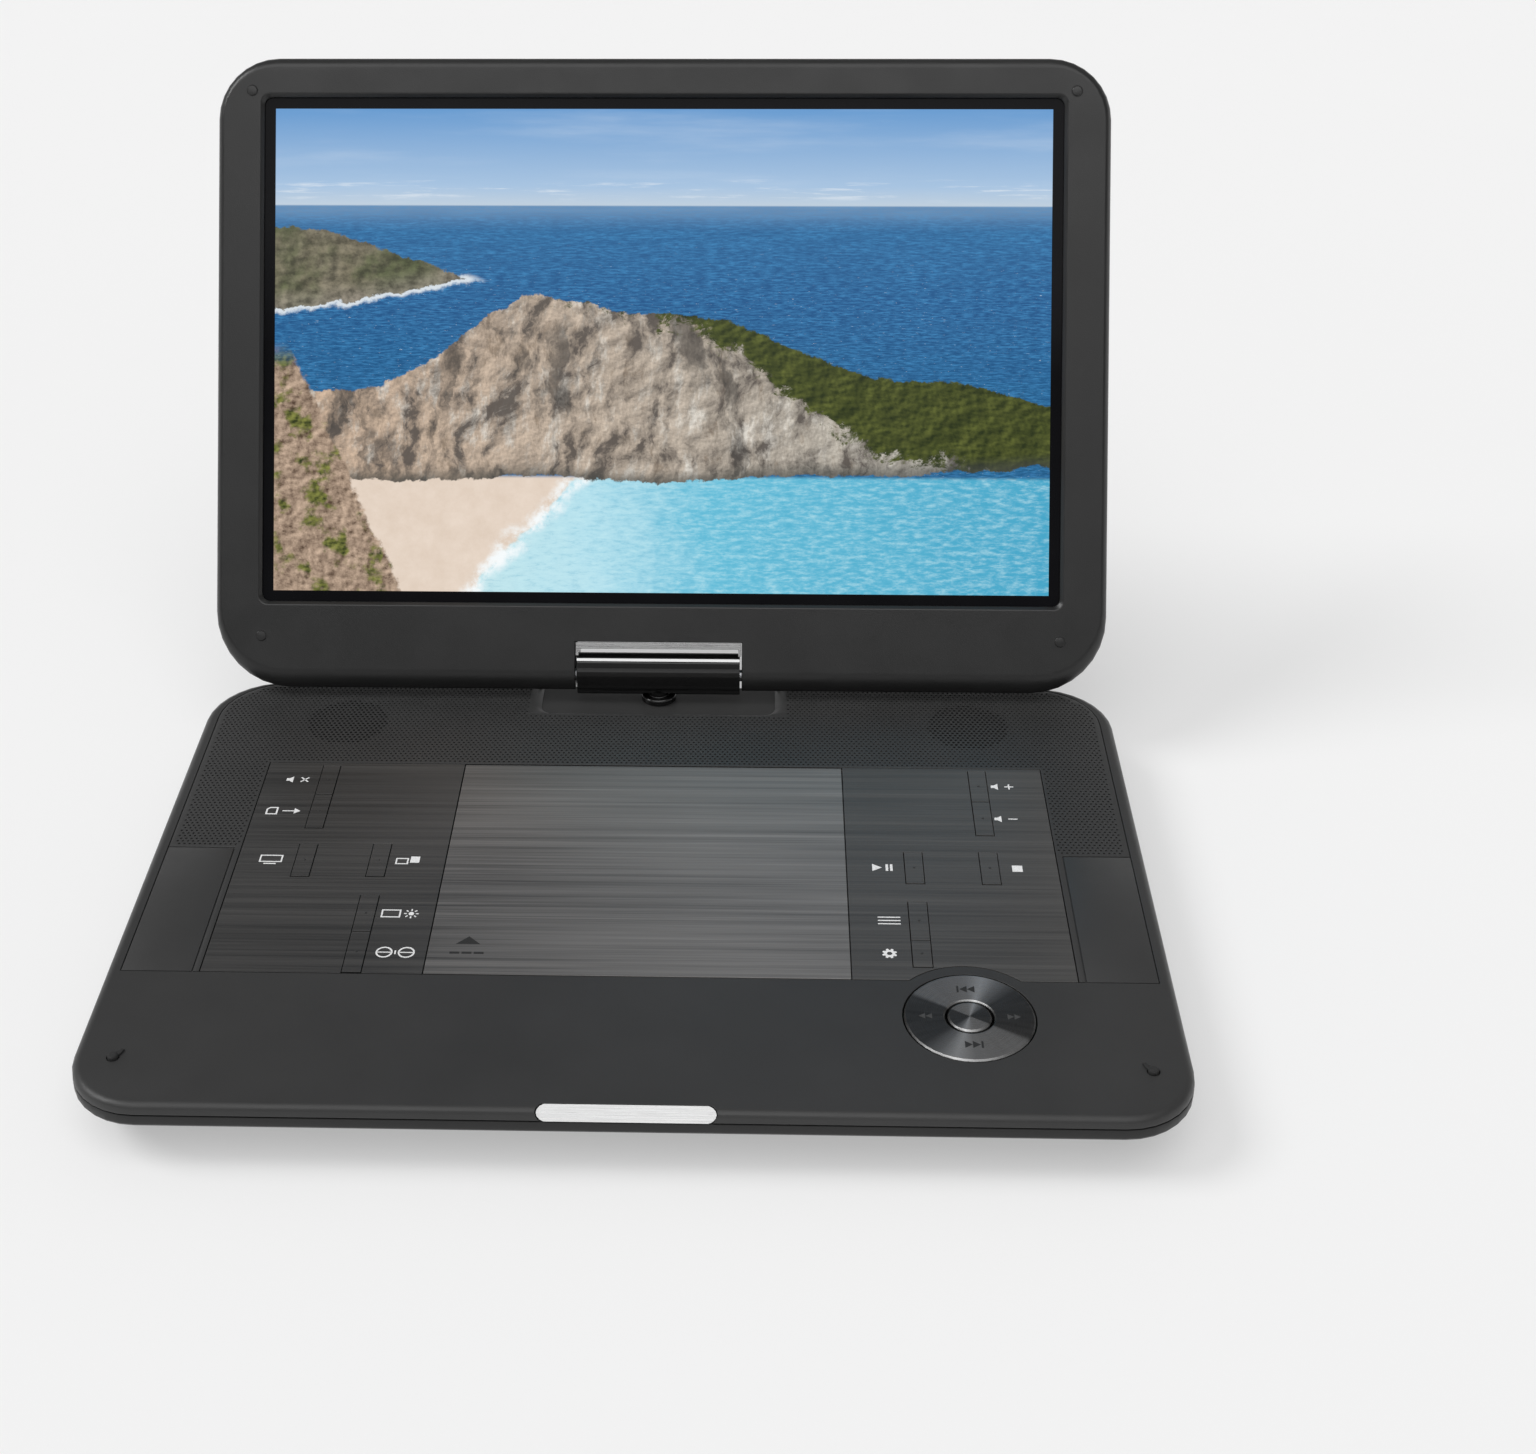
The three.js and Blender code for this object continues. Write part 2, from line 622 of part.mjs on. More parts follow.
function laserSled() {
  const body = block(-13, 13, -31, -11, 13.1, 16.7);
  const arms = block(-19.5, 19.5, -27, -15, 13.1, 16.7);
  const lens = turned(
    [[0, 16], [LENS_RADIUS, 16], [LENS_RADIUS, 17.9], [2.6, 18.4], [0, 18.5]],
    SPINDLE.x,
    SPINDLE.y - 24,
    SMALL_SIDES,
  );
  const slideBore = barY(RAIL.radius + 0.08, -40, 0, -RAIL.x, RAIL.z);
  const screwBore = barY(RAIL.radius + 0.4, -40, 0, RAIL.x, RAIL.z);
  return cut(join(body, arms, lens), slideBore, screwBore);
}

const turntableProfile = [
  [0, 14],
  [SHAFT_RADIUS, 14],
  [SHAFT_RADIUS, 19.4],
  [14.5, 19.4],
  [14.5, 20.8],
  [7.3, 20.8],
  [7.3, 22.4],
  [6.2, 23.6],
  [0, 23.6],
];

function spindleMotor() {
  const can = barZ(12, 13.1, 17.1, SPINDLE.x, SPINDLE.y, 24);
  const bore = barZ(SHAFT_RADIUS + 0.07, 13.6, 18, SPINDLE.x, SPINDLE.y, 24);
  return cut(can, bore);
}

addPiece(base, 'disc_lid', discLid(), MATERIALS.brushed);
addPiece(base, 'deck_tray', deckTray(), MATERIALS.connector);
addPiece(base, 'drive_chassis', driveChassis(), MATERIALS.steel);
addPiece(base, 'laser_sled', laserSled(), MATERIALS.connector);
addPiece(base, 'sled_rail', barY(RAIL.radius, -72.5, -5.5, -RAIL.x, RAIL.z), MATERIALS.steel);
addPiece(base, 'lead_screw', barY(RAIL.radius, -72.5, -5.5, RAIL.x, RAIL.z), MATERIALS.steel);
addPiece(base, 'spindle_motor', spindleMotor(), MATERIALS.steel);
addPiece(base, 'turntable', turned(turntableProfile, SPINDLE.x, SPINDLE.y, 24), MATERIALS.connector);

// ---------- base: electronics ----------

function board(outline, z0, z1, chips) {
  const parts = chips.map(([x0, x1, y0, y1, top]) => block(x0, x1, y0, y1, z0, top));
  return join(block(...outline, z0, z1), ...parts);
}

const mainChips = [
  [98, 124, -8, 18, 9.8],
  [132, 150, 22, 38, 9.6],
  [98, 112, -44, -26, 9.4],
  [146, 156, 58, 70, 13],
  [130, 142, -40, -30, 12],
];

function speaker(side) {
  const profile = [
    [0, 11],
    [9.5, 11],
    [9.5, 15],
    [SPEAKER.radius - 1, 21],
    [SPEAKER.radius, 21.2],
    [SPEAKER.radius, 22.9],
    [14.5, 22.9],
    [6, 19.5],
    [0, 20.6],
  ];
  return turned(profile, side * SPEAKER.x, SPEAKER.y, 20);
}

function roundedPlate(left, right, front, back, radius, z0, z1) {
  return loftInset(
    { left, right, front, back, frontRadius: radius, backRadius: radius },
    [{ z: z0, side: 0 }, { z: z1, side: 0 }],
  );
}

addPiece(base, 'main_board', board([88, 182, -57, 93], 6.4, 8, mainChips), MATERIALS.board);
addPiece(base, 'battery_pack', roundedPlate(-176, -90, -58, 62, 4, 4.3, 16.5), MATERIALS.battery);
addPiece(base, 'speaker_left', speaker(-1), MATERIALS.connector);
addPiece(base, 'speaker_right', speaker(1), MATERIALS.connector);

// ---------- base: sockets and power switch ----------

const PORT_FACE = BAY.x - 0.2;

function roundSocket(y, bodyHalf, noseRadius, boreRadius) {
  const reach = (middle) => [middle - bodyHalf, middle + bodyHalf];
  const housing = block(172, PORT_BACK, ...reach(y), ...reach(PORT_Z));
  const nose = barX(noseRadius, PORT_BACK - PAST, PORT_FACE, y, PORT_Z);
  const bore = barX(boreRadius, 174, PORT_FACE + PAST, y, PORT_Z);
  return cut(join(housing, nose), bore);
}

function flatSocket(y, back, halfY, halfZ, wall) {
  const housing = block(back, PORT_FACE, y - halfY, y + halfY, PORT_Z - halfZ, PORT_Z + halfZ);
  const mouth = block(
    back + 1,
    PORT_FACE + PAST,
    y - halfY + wall,
    y + halfY - wall,
    PORT_Z - halfZ + wall,
    PORT_Z + halfZ - wall,
  );
  return cut(housing, mouth);
}

const dcPin = barX(0.6, 173.5, 185.5, PORTS.dc, PORT_Z, 10);
const dcSocket = join(roundSocket(PORTS.dc, 4.5, 3.2, 1.9), dcPin);
const usbTongue = block(172.5, 185, PORTS.usb - 5.2, PORTS.usb + 5.2, PORT_Z + 0.1, PORT_Z + 1.6);
const usbSocket = join(flatSocket(PORTS.usb, 172, 6.6, 2.9, 0.4), usbTongue);

function powerSwitch() {
  const middle = PORTS.power + 2; // half of the travel towards the back
  const knob = block(PORT_BACK - PAST, 188.6, middle - 2.6, middle + 2.6, PORT_Z - 1.9, PORT_Z + 1.9);
  const carrier = block(180.5, PORT_BACK, middle - 4.5, middle + 4.5, PORT_Z - 3, PORT_Z + 3);
  return join(knob, carrier);
}

addPiece(base, 'dc_jack', dcSocket, MATERIALS.connector);
addPiece(base, 'av_jack', roundSocket(PORTS.av, 3.5, 2.9, 1.8), MATERIALS.connector);
addPiece(base, 'earphone_jack', roundSocket(PORTS.earphone, 3.5, 2.9, 1.8), MATERIALS.connector);
addPiece(base, 'usb_port', usbSocket, MATERIALS.steel);
addPiece(base, 'card_slot', flatSocket(PORTS.card, 163, 13.2, 1.8, 0.6), MATERIALS.steel);
addPiece(base, 'power_switch', powerSwitch(), MATERIALS.key);

// ---------- hinge ----------

const postProfile = [
  [0, 17.3],
  [5, 17.3],
  [5, 18.9],
  [POST_RADIUS, 18.9],
  [POST_RADIUS, RECESS_Z + 0.2],
  [COLLAR_RADIUS, RECESS_Z + 0.2],
  [COLLAR_RADIUS, 27.3],
  [7, 27.8],
  [4.7, 27.8],
  [4.7, 31.6],
  [0, 31.6],
];

function hingeMount() {
  const plate = roundedPlate(-26, 26, 112, 130.5, 3, 19.2, 21.2);
  return cut(plate, barZ(POST_RADIUS + 0.07, 18, 23, 0, SWIVEL_Y, ROUND_SIDES));
}

// The sloping face near the barrel's top that carries the bright strip.
const STRIP_FACE = { front: [-3.7, 8.75], back: [-2.6, 9.6] };

// The bright strip on that face, grown by a margin for its seat.
function barrelStrip(margin) {
  const [[y0, z0], [y1, z1]] = [STRIP_FACE.front, STRIP_FACE.back];
  const width = Math.hypot(y1 - y0, z1 - z0);
  const slope = Math.atan2(z1 - z0, y1 - y0);
  const thickness = 0.8;
  const length = 2 * BARREL_HALF_LENGTH;
  const strip = new THREE.BoxGeometry(length + 2 * margin, width + 2 * margin, thickness + 2 * margin);
  return strip
    .translate(0, 0, -thickness / 2)
    .rotateX(slope)
    .translate(0, (y0 + y1) / 2, (z0 + z1) / 2);
}

function hingeBarrel() {
  const section = new THREE.Shape();
  section.moveTo(-6.5, 4.6);
  section.lineTo(-6.5, -3.4);
  section.absarc(-2.5, -3.4, 4, Math.PI, 1.5 * Math.PI, false);
  section.absarc(1.5, -2.4, 5, -Math.PI / 2, 0, false);
  section.absarc(1, 4, 5.5, 0, Math.PI / 2, false);
  section.lineTo(...STRIP_FACE.back);
  section.lineTo(...STRIP_FACE.front);
  const body = alongX(section, -BARREL_HALF_LENGTH, BARREL_HALF_LENGTH, 3);
  const bores = [-1, 1].map((side) =>
    barX(PIN_RADIUS + 0.07, side * 27 - 8, side * 27 + 8, 0, 0, ROUND_SIDES));
  const seat = barZ(5, -9, -3.6, 0, SWIVEL_Y - TILT_AXIS.y);
  return cut(body, ...bores, seat, barrelStrip(0.15));
}

function atTiltAxis(geometry) {
  return geometry.translate(0, TILT_AXIS.y - SWIVEL_Y, TILT_AXIS.z);
}

addPiece(base, 'hinge_mount', hingeMount(), MATERIALS.steel);
addPiece(swivel, 'swivel_post', turned(postProfile, 0, 0), MATERIALS.connector);
addPiece(swivel, 'hinge_barrel', atTiltAxis(hingeBarrel()), MATERIALS.glossBlack);
addPiece(swivel, 'barrel_trim', atTiltAxis(barrelStrip(0)), MATERIALS.brightTrim);

// ---------- screen ----------

const BEZEL_LEVELS = [
  { z: SCREEN_SEAM, side: 0 },
  { z: 3, side: 0.2, front: 0.8, back: 0.3 },
  { z: 4.6, side: 0.8, front: 2.4, back: 1.2 },
  { z: 5.8, side: 1.9, front: 5.2, back: 2.9 },
  { z: SCREEN_HALF_THICKNESS, side: 3.2, front: 8.4, back: 4.8 },
];
const BACK_LEVELS = [
  { z: -SCREEN_HALF_THICKNESS, side: 6, front: 6, back: 7 },
  { z: -5.6, side: 3.2, front: 3.4, back: 3.8 },
  { z: -4, side: 1.4, front: 1.6, back: 1.6 },
  { z: -2, side: 0.4 },
  { z: SCREEN_SEAM, side: 0 },
];

// A block that takes in the whole screen up to the notch's outline, grown by the trim's width.
function notchBlock(side, top) {
  return block(-NOTCH.halfWidth - side, NOTCH.halfWidth + side, -10, NOTCH.top + top, -10, 10);
}

function pictureFrame(margin) {
  return {
    left: -PICTURE.halfWidth - margin,
    right: PICTURE.halfWidth + margin,
    front: PICTURE.middle - PICTURE.halfHeight - margin,
    back: PICTURE.middle + PICTURE.halfHeight + margin,
    frontRadius: 1 + margin / 2,
    backRadius: 1 + margin / 2,
  };
}

function picturePlate(margin, z0, z1) {
  const { left, right, front, back } = pictureFrame(margin);
  return block(left, right, front, back, z0, z1);
}

function screenBezel() {
  const inner = loftInset(SCREEN, [
    { z: SCREEN_SEAM - PAST, side: 2 },
    { z: SCREEN_HALF_THICKNESS - SCREEN_WALL, side: 3.4, front: 5, back: 3.8 },
  ]);
  const opening = loft([
    ring(pictureFrame(PICTURE_BORDER), SCREEN_HALF_THICKNESS - SCREEN_WALL - PAST),
    ring(pictureFrame(PICTURE_BORDER), SCREEN_HALF_THICKNESS - SCREEN_WALL + 0.3),
    ring(pictureFrame(PICTURE_BORDER + 1.6), SCREEN_HALF_THICKNESS + 0.1),
  ]);
  const notch = notchBlock(NOTCH_TRIM.side + FIT, NOTCH_TRIM.top + FIT);
  const raised = BEZEL_LEVELS.map((level, i) => (i === 0 ? { ...level, z: level.z + FIT } : level));
  return cut(loftInset(SCREEN, raised), inner, opening, notch);
}

function screenBack() {
  const inner = loftInset(SCREEN, [
    { z: -SCREEN_HALF_THICKNESS + SCREEN_WALL, side: 4.5 },
    { z: SCREEN_SEAM + PAST, side: 2 },
  ]);
  const notch = notchBlock(NOTCH_TRIM.side + FIT, NOTCH_TRIM.top + FIT);
  return cut(loftInset(SCREEN, BACK_LEVELS), inner, notch);
}

// A bar with short legs that lines the notch's top, flush with the screen's faces and hollowed
// out underneath to clear the turning barrel.
function notchTrim() {
  const whole = loftInset(SCREEN, [...BACK_LEVELS, ...BEZEL_LEVELS.slice(1)]);
  const outer = common(whole, notchBlock(NOTCH_TRIM.side, NOTCH_TRIM.top));
  const sweep = barX(BARREL_SWEEP, -40, 40, 0, 0, ROUND_SIDES);
  const below = block(-40, 40, -12, 0, -10, 10);
  return cut(outer, notchBlock(0, 0), sweep, below);
}

function hingeBracket(side) {
  const span = (a, b) => between(side * a, side * b);
  const plate = block(...span(38, 64), -1.5, 23, -3.9, -1.9);
  const boss = block(...span(40, 60), -1.9, 2.4, -3.9, 0.5);
  const pin = barX(PIN_RADIUS, ...span(20.5, 58), 0, 0, ROUND_SIDES);
  return join(plate, boss, pin);
}

function lcdTray() {
  return cut(picturePlate(6.5, -4.2, 2.4), picturePlate(5.7, -3.3, 2.4 + PAST));
}

const driverChips = [[-120, -108, 9, 18, -1.2], [-96, -88, 8, 14, -1]];

addPiece(screen, 'screen_bezel', screenBezel(), MATERIALS.casing);
addPiece(screen, 'screen_back', screenBack(), MATERIALS.casing);
addPiece(screen, 'notch_trim', notchTrim(), MATERIALS.brightTrim);
addPiece(screen, 'lcd_glass', picturePlate(5.9, 2.8, GLASS_FACE), MATERIALS.glass);
addPiece(screen, 'lcd_tray', lcdTray(), MATERIALS.steel);
addPiece(screen, 'light_guide', picturePlate(5.3, -2.9, -0.4), MATERIALS.acrylic);
addPiece(screen, 'display_board', board([-150, -72, 4, 21], -3.8, -2.2, driverChips), MATERIALS.board);
addPiece(screen, 'hinge_bracket_left', hingeBracket(-1), MATERIALS.steel);
addPiece(screen, 'hinge_bracket_right', hingeBracket(1), MATERIALS.steel);

export default model;
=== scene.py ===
"""Looks of a portable DVD player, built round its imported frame. Metres, +Z up."""
import json
import math

import bpy
from mathutils import Matrix, Vector


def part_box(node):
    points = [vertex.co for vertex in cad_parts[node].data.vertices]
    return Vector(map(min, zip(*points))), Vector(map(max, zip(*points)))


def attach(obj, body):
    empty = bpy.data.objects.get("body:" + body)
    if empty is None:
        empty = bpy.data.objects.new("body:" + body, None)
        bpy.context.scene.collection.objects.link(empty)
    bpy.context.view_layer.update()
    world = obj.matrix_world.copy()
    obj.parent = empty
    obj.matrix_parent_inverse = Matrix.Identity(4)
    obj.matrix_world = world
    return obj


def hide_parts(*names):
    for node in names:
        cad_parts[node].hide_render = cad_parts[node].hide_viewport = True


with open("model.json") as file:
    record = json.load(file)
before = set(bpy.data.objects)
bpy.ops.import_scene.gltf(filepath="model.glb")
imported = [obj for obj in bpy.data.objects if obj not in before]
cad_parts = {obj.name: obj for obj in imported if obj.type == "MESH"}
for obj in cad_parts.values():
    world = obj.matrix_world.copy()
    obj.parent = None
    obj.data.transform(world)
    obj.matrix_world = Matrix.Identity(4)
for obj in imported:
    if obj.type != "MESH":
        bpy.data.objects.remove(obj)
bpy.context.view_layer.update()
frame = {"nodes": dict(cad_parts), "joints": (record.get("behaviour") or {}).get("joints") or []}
NODES = frame["nodes"]
JOINTS = {joint["name"]: joint for joint in frame["joints"]}
MM = 0.001
REST_TILT = math.radians(30)  # how far the open screen leans back


def millimetres(node):
    """A node's lowest and highest corner in millimetres."""
    low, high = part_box(node)
    return low / MM, high / MM


def middle(node):
    low, high = millimetres(node)
    return (low + high) / 2


# ---------- places, all worked out from the frame ----------

# Millimetres of the row frame to metres.
BASE = Matrix.Scale(MM, 4)

# Millimetres of the screen's own frame (across, up the screen, out of its face) to metres.
SCREEN = (
    Matrix.Translation(JOINTS["screen_tilt"]["pos_m"])
    @ Matrix.Rotation(math.pi / 2 - REST_TILT, 4, "X")
    @ Matrix.Scale(MM, 4)
)
FROM_SCREEN = SCREEN.inverted()

PANEL_TOP = millimetres("deck_panel")[1].z
DPAD = middle("dpad_ring")
RING_TOP = millimetres("dpad_ring")[1].z
SPEAKERS = [middle("speaker_left"), middle("speaker_right")]
KEYS = sorted(node for node in NODES if node.startswith("key_") and "board" not in node)


def screen_box(node):
    """A node's lowest and highest corner in the screen's own frame, in millimetres."""
    points = [FROM_SCREEN @ vertex.co for vertex in NODES[node].data.vertices]
    low = Vector(min(point[axis] for point in points) for axis in range(3))
    high = Vector(max(point[axis] for point in points) for axis in range(3))
    return low, high


# ---------- stage: camera, light and floor ----------

LENS_RATIO = 1.4704  # focal length over image width
SENSOR = 36.0  # the camera's film, in millimetres; only the ratio matters
CAMERA_PLACE = (0.0426, -0.7543, 0.5395)
CAMERA_YAW, CAMERA_DOWN, CAMERA_ROLL = (math.radians(a) for a in (2.042, 30.732, -0.579))
CAMERA_SHIFT = (0.0508, -0.0566)


def make_camera():
    data = bpy.data.cameras.new("camera")
    data.sensor_width = SENSOR
    data.lens = LENS_RATIO * SENSOR
    data.shift_x, data.shift_y = CAMERA_SHIFT
    data.clip_start, data.clip_end = 0.01, 50
    camera = bpy.data.objects.new("camera", data)
    turn = (
        Matrix.Rotation(CAMERA_YAW, 4, "Z")
        @ Matrix.Rotation(math.pi / 2 - CAMERA_DOWN, 4, "X")
        @ Matrix.Rotation(CAMERA_ROLL, 4, "Z")
    )
    camera.matrix_world = Matrix.Translation(CAMERA_PLACE) @ turn
    bpy.context.scene.collection.objects.link(camera)
    bpy.context.scene.camera = camera


def make_sun(name, azimuth, elevation, angle, strength):
    """A wide soft light from far away. Azimuth 0 is behind the camera, 90 on its right."""
    data = bpy.data.lights.new(name, "SUN")
    data.energy = strength
    data.angle = math.radians(angle)
    lamp = bpy.data.objects.new(name, data)
    a, e = math.radians(azimuth), math.radians(elevation)
    source = Vector((math.sin(a) * math.cos(e), -math.cos(a) * math.cos(e), math.sin(e)))
    lamp.rotation_euler = source.to_track_quat("Z", "Y").to_euler()
    bpy.context.scene.collection.objects.link(lamp)


def make_world(level):
    """The same soft light from every side."""
    world = bpy.data.worlds.new("studio")
    world.use_nodes = True
    background = world.node_tree.nodes["Background"]
    background.inputs["Color"].default_value = (level, level, level, 1)
    background.inputs["Strength"].default_value = 1
    bpy.context.scene.world = world


# ---------- material nodes ----------


class Signal:
    """A number or a colour that flows through a material's nodes, with plain arithmetic."""

    def __init__(self, tree, source):
        self.tree = tree
        self.source = source

    def combined(self, operation, other=0.0, swapped=False):
        inputs = [other, self] if swapped else [self, other]
        return make_node(self.tree, "ShaderNodeMath", inputs, operation=operation)

    def __add__(self, other):
        return self.combined("ADD", other)

    __radd__ = __add__

    def __sub__(self, other):
        return self.combined("SUBTRACT", other)

    def __rsub__(self, other):
        return self.combined("SUBTRACT", other, swapped=True)

    def __mul__(self, other):
        return self.combined("MULTIPLY", other)

    __rmul__ = __mul__

    def __truediv__(self, other):
        return self.combined("DIVIDE", other)

    def power(self, exponent):
        return self.combined("POWER", exponent)

    def size(self):
        return self.combined("ABSOLUTE")


def plug(tree, socket, value):
    """Sets a socket to a number or colour, or links a signal to it."""
    if isinstance(value, Signal):
        tree.links.new(value.source, socket)
    elif isinstance(value, (tuple, list)) and len(value) == 3 and socket.type == "RGBA":
        socket.default_value = (*value, 1)
    else:
        socket.default_value = value


def make_node(tree, kind, inputs=(), output=0, **settings):
    """Adds a node. Inputs are a list in socket order or a dict by socket name."""
    node = tree.nodes.new(kind)
    for name, value in settings.items():
        setattr(node, name, value)
    pairs = inputs.items() if isinstance(inputs, dict) else enumerate(inputs)
    for key, value in pairs:
        plug(tree, node.inputs[key], value)
    return Signal(tree, node.outputs[output])


def place_in(tree):
    """The point in the row frame, in metres."""
    return make_node(tree, "ShaderNodeTexCoord", output="Object")


def stretched(vector, scale, location=(0, 0, 0)):
    inputs = {"Vector": vector, "Scale": scale, "Location": location}
    return make_node(vector.tree, "ShaderNodeMapping", inputs)


def parts_of(vector):
    split = vector.tree.nodes.new("ShaderNodeSeparateXYZ")
    vector.tree.links.new(vector.source, split.inputs[0])
    return [Signal(vector.tree, socket) for socket in split.outputs]


def joined(tree, x, y, z=0.0):
    return make_node(tree, "ShaderNodeCombineXYZ", [x, y, z])


def noise(vector, scale, detail=3.0, roughness=0.55, distortion=0.0):
    inputs = {
        "Vector": vector,
        "Scale": scale,
        "Detail": detail,
        "Roughness": roughness,
        "Distortion": distortion,
    }
    return make_node(vector.tree, "ShaderNodeTexNoise", inputs)


def cells(vector, scale):
    inputs = {"Vector": vector, "Scale": scale}
    return make_node(vector.tree, "ShaderNodeTexVoronoi", inputs, feature="F1")


def relief(tree, x, y, detail=9, roughness=0.66, step=0.12, depth=0.09):
    """How brightly rough ground is lit from its upper left: 0 in shade, 1 facing the light."""
    here = noise(joined(tree, x, y), 1, detail, roughness)
    nearer_light = noise(joined(tree, x - step, y + step), 1, detail, roughness)
    return between(here - nearer_light, -depth, depth, smooth=False)


def between(value, low, high, to_low=0.0, to_high=1.0, smooth=True):
    """The value moved from one range to another, held at its ends."""
    style = "SMOOTHSTEP" if smooth else "LINEAR"
    inputs = [value, low, high, to_low, to_high]
    return make_node(value.tree, "ShaderNodeMapRange", inputs, interpolation_type=style)


def mix(share, first, second):
    """The first colour where the share is 0, and the second where it is 1."""
    tree = share.tree
    node = tree.nodes.new("ShaderNodeMix")
    node.data_type = "RGBA"
    plug(tree, node.inputs[0], share)
    plug(tree, node.inputs[6], first)
    plug(tree, node.inputs[7], second)
    return Signal(tree, node.outputs[2])


def ramp(value, stops, style="LINEAR"):
    """A colour, or a grey level, from a list of (place, colour or level) stops."""
    node = value.tree.nodes.new("ShaderNodeValToRGB")
    node.color_ramp.interpolation = style
    elements = node.color_ramp.elements
    while len(elements) < len(stops):
        elements.new(0.5)
    for element, (place, colour) in zip(elements, stops):
        element.position = place
        element.color = (*colour, 1) if isinstance(colour, tuple) else (colour, colour, colour, 1)
    value.tree.links.new(value.source, node.inputs[0])
    return Signal(value.tree, node.outputs[0])


def grey(level):
    return (level, level, level)


def tinted(colour, share):
    return tuple(channel * share for channel in colour)


def bump(height, distance):
    inputs = {"Height": height, "Distance": distance, "Strength": 1.0}
    return make_node(height.tree, "ShaderNodeBump", inputs, output="Normal")


def start_material(name):
    material = bpy.data.materials.new(name)
    material.use_nodes = True
    shader = material.node_tree.nodes["Principled BSDF"]
    return material, material.node_tree, shader


def finish_material(material, shader, **inputs):
    for name, value in inputs.items():
        plug(material.node_tree, shader.inputs[name.replace("_", " ")], value)
    return material


# ---------- materials ----------


TONE_SPREAD = 0.25  # how much moulded plastic's tone differs from its palest to its darkest


def moulded(name, colour, roughness, grain=0.00004, grain_scale=2400, **more):
    """Moulded plastic: a fine even grain, and broad faint changes of tone and of shine."""
    material, tree, shader = start_material(name)
    place = place_in(tree)
    broad = noise(place, 14, detail=4)
    fine = noise(place, grain_scale, detail=2)
    tone = between(broad, 0.3, 0.7, smooth=False)
    return finish_material(
        material,
        shader,
        Base_Color=mix(tone, tinted(colour, 1 - TONE_SPREAD / 2), tinted(colour, 1 + TONE_SPREAD / 2)),
        Roughness=between(noise(place, 45, detail=5), 0.3, 0.7, roughness - 0.04, roughness + 0.05),
        Normal=bump(fine, grain),
        **more,
    )


def brushed(name, dark, light, roughness, metallic, along=6, across=1500, lines=0.6, painted_sheen_drift=0.0):
    """Metal or lacquer brushed from left to right, with single stronger lines in it.

    Its tone may also get lighter from left to right, by so much in a metre: a painted sheen, as if more
    light fell on its right.
    """
    material, tree, shader = start_material(name)
    place = place_in(tree)
    fine = noise(stretched(place, (along, across, along)), 1, detail=3, roughness=0.7)
    coarse = noise(stretched(place, (along * 0.7, across * 0.22, along)), 1, detail=4, roughness=0.65)
    wide = noise(stretched(place, (along, 16, along)), 1, detail=2)
    streaks = fine * 0.45 + coarse * lines + wide * 0.35
    x, _, _ = parts_of(place)
    # Lighter with x: a painted sheen across the part.
    tone = between(streaks + x * painted_sheen_drift, 0.42, 0.98 + (lines - 0.6) * 0.6, smooth=False)
    return finish_material(
        material,
        shader,
        Base_Color=mix(tone, dark, light),
        Metallic=metallic,
        Roughness=between(fine, 0.25, 0.75, roughness - 0.07, roughness + 0.08),
        Normal=bump(fine + coarse, 0.00003),
    )


def spun_painted_fans(name, dark, light, roughness):
    """Metal turned on a lathe, with two opposite fans of painted highlight in its colour beside its
    real anisotropic sheen.
    """
    material, tree, shader = start_material(name)
    place = place_in(tree)
    across = stretched(place, (1, 1, 1), (-DPAD.x * MM, -DPAD.y * MM, 0))
    x, y, _ = parts_of(across)
    radius = (x * x + y * y).power(0.5)
    angle = make_node(tree, "ShaderNodeMath", [y, x], operation="ARCTAN2")
    # Two fans of painted highlight, one behind and one in front of the middle, each with one sharp
    # edge.
    half_turn = (angle / math.pi).combined("FRACT")
    stops = [
        (0.0, 0.04),
        (0.22, 0.07),
        (0.33, 0.36),
        (0.41, 0.8),
        (0.5, 0.45),
        (0.66, 0.34),
        (0.81, 0.3),
        (0.84, 0.05),
        (1.0, 0.04),
    ]
    painted_fans = ramp(half_turn, stops)
    ragged = noise(joined(tree, angle * 9, radius * 60), 1, detail=3)
    rings = noise(joined(tree, radius * 5200, angle * 0.6), 1, detail=2)
    tone = painted_fans + (ragged - 0.5) * 0.12
    return finish_material(
        material,
        shader,
        Base_Color=mix(between(tone, 0.0, 1.0, smooth=False), dark, light),
        Metallic=0.8,
        Roughness=between(rings, 0.3, 0.7, roughness - 0.05, roughness + 0.06),
        Anisotropic=0.75,
        Tangent=make_node(tree, "ShaderNodeTangent", direction_type="RADIAL", axis="Z"),
        Normal=bump(rings, 0.00002),
    )


def gloss(name, colour, roughness=0.07):
    """Glossy lacquer, with the faint waviness of a moulded and polished face."""
    material, tree, shader = start_material(name)
    place = place_in(tree)
    return finish_material(
        material,
        shader,
        Base_Color=mix(noise(place, 60, detail=3), tinted(colour, 0.8), tinted(colour, 1.3)),
        Roughness=between(noise(place, 120, detail=5), 0.35, 0.75, roughness, roughness + 0.05),
        Normal=bump(noise(place, 90, detail=1), 0.00002),
        Coat_Weight=0.3,
        Coat_Roughness=0.03,
    )


def metal(name, colour, roughness):
    material, tree, shader = start_material(name)
    place = place_in(tree)
    cloudy = noise(place, 70, detail=5)
    fine = noise(place, 900, detail=3)
    return finish_material(
        material,
        shader,
        Base_Color=mix(between(cloudy, 0.3, 0.7), tinted(colour, 0.82), tinted(colour, 1.08)),
        Metallic=1.0,
        Roughness=between(fine, 0.3, 0.7, roughness - 0.06, roughness + 0.08),
        Normal=bump(fine, 0.00002),
    )


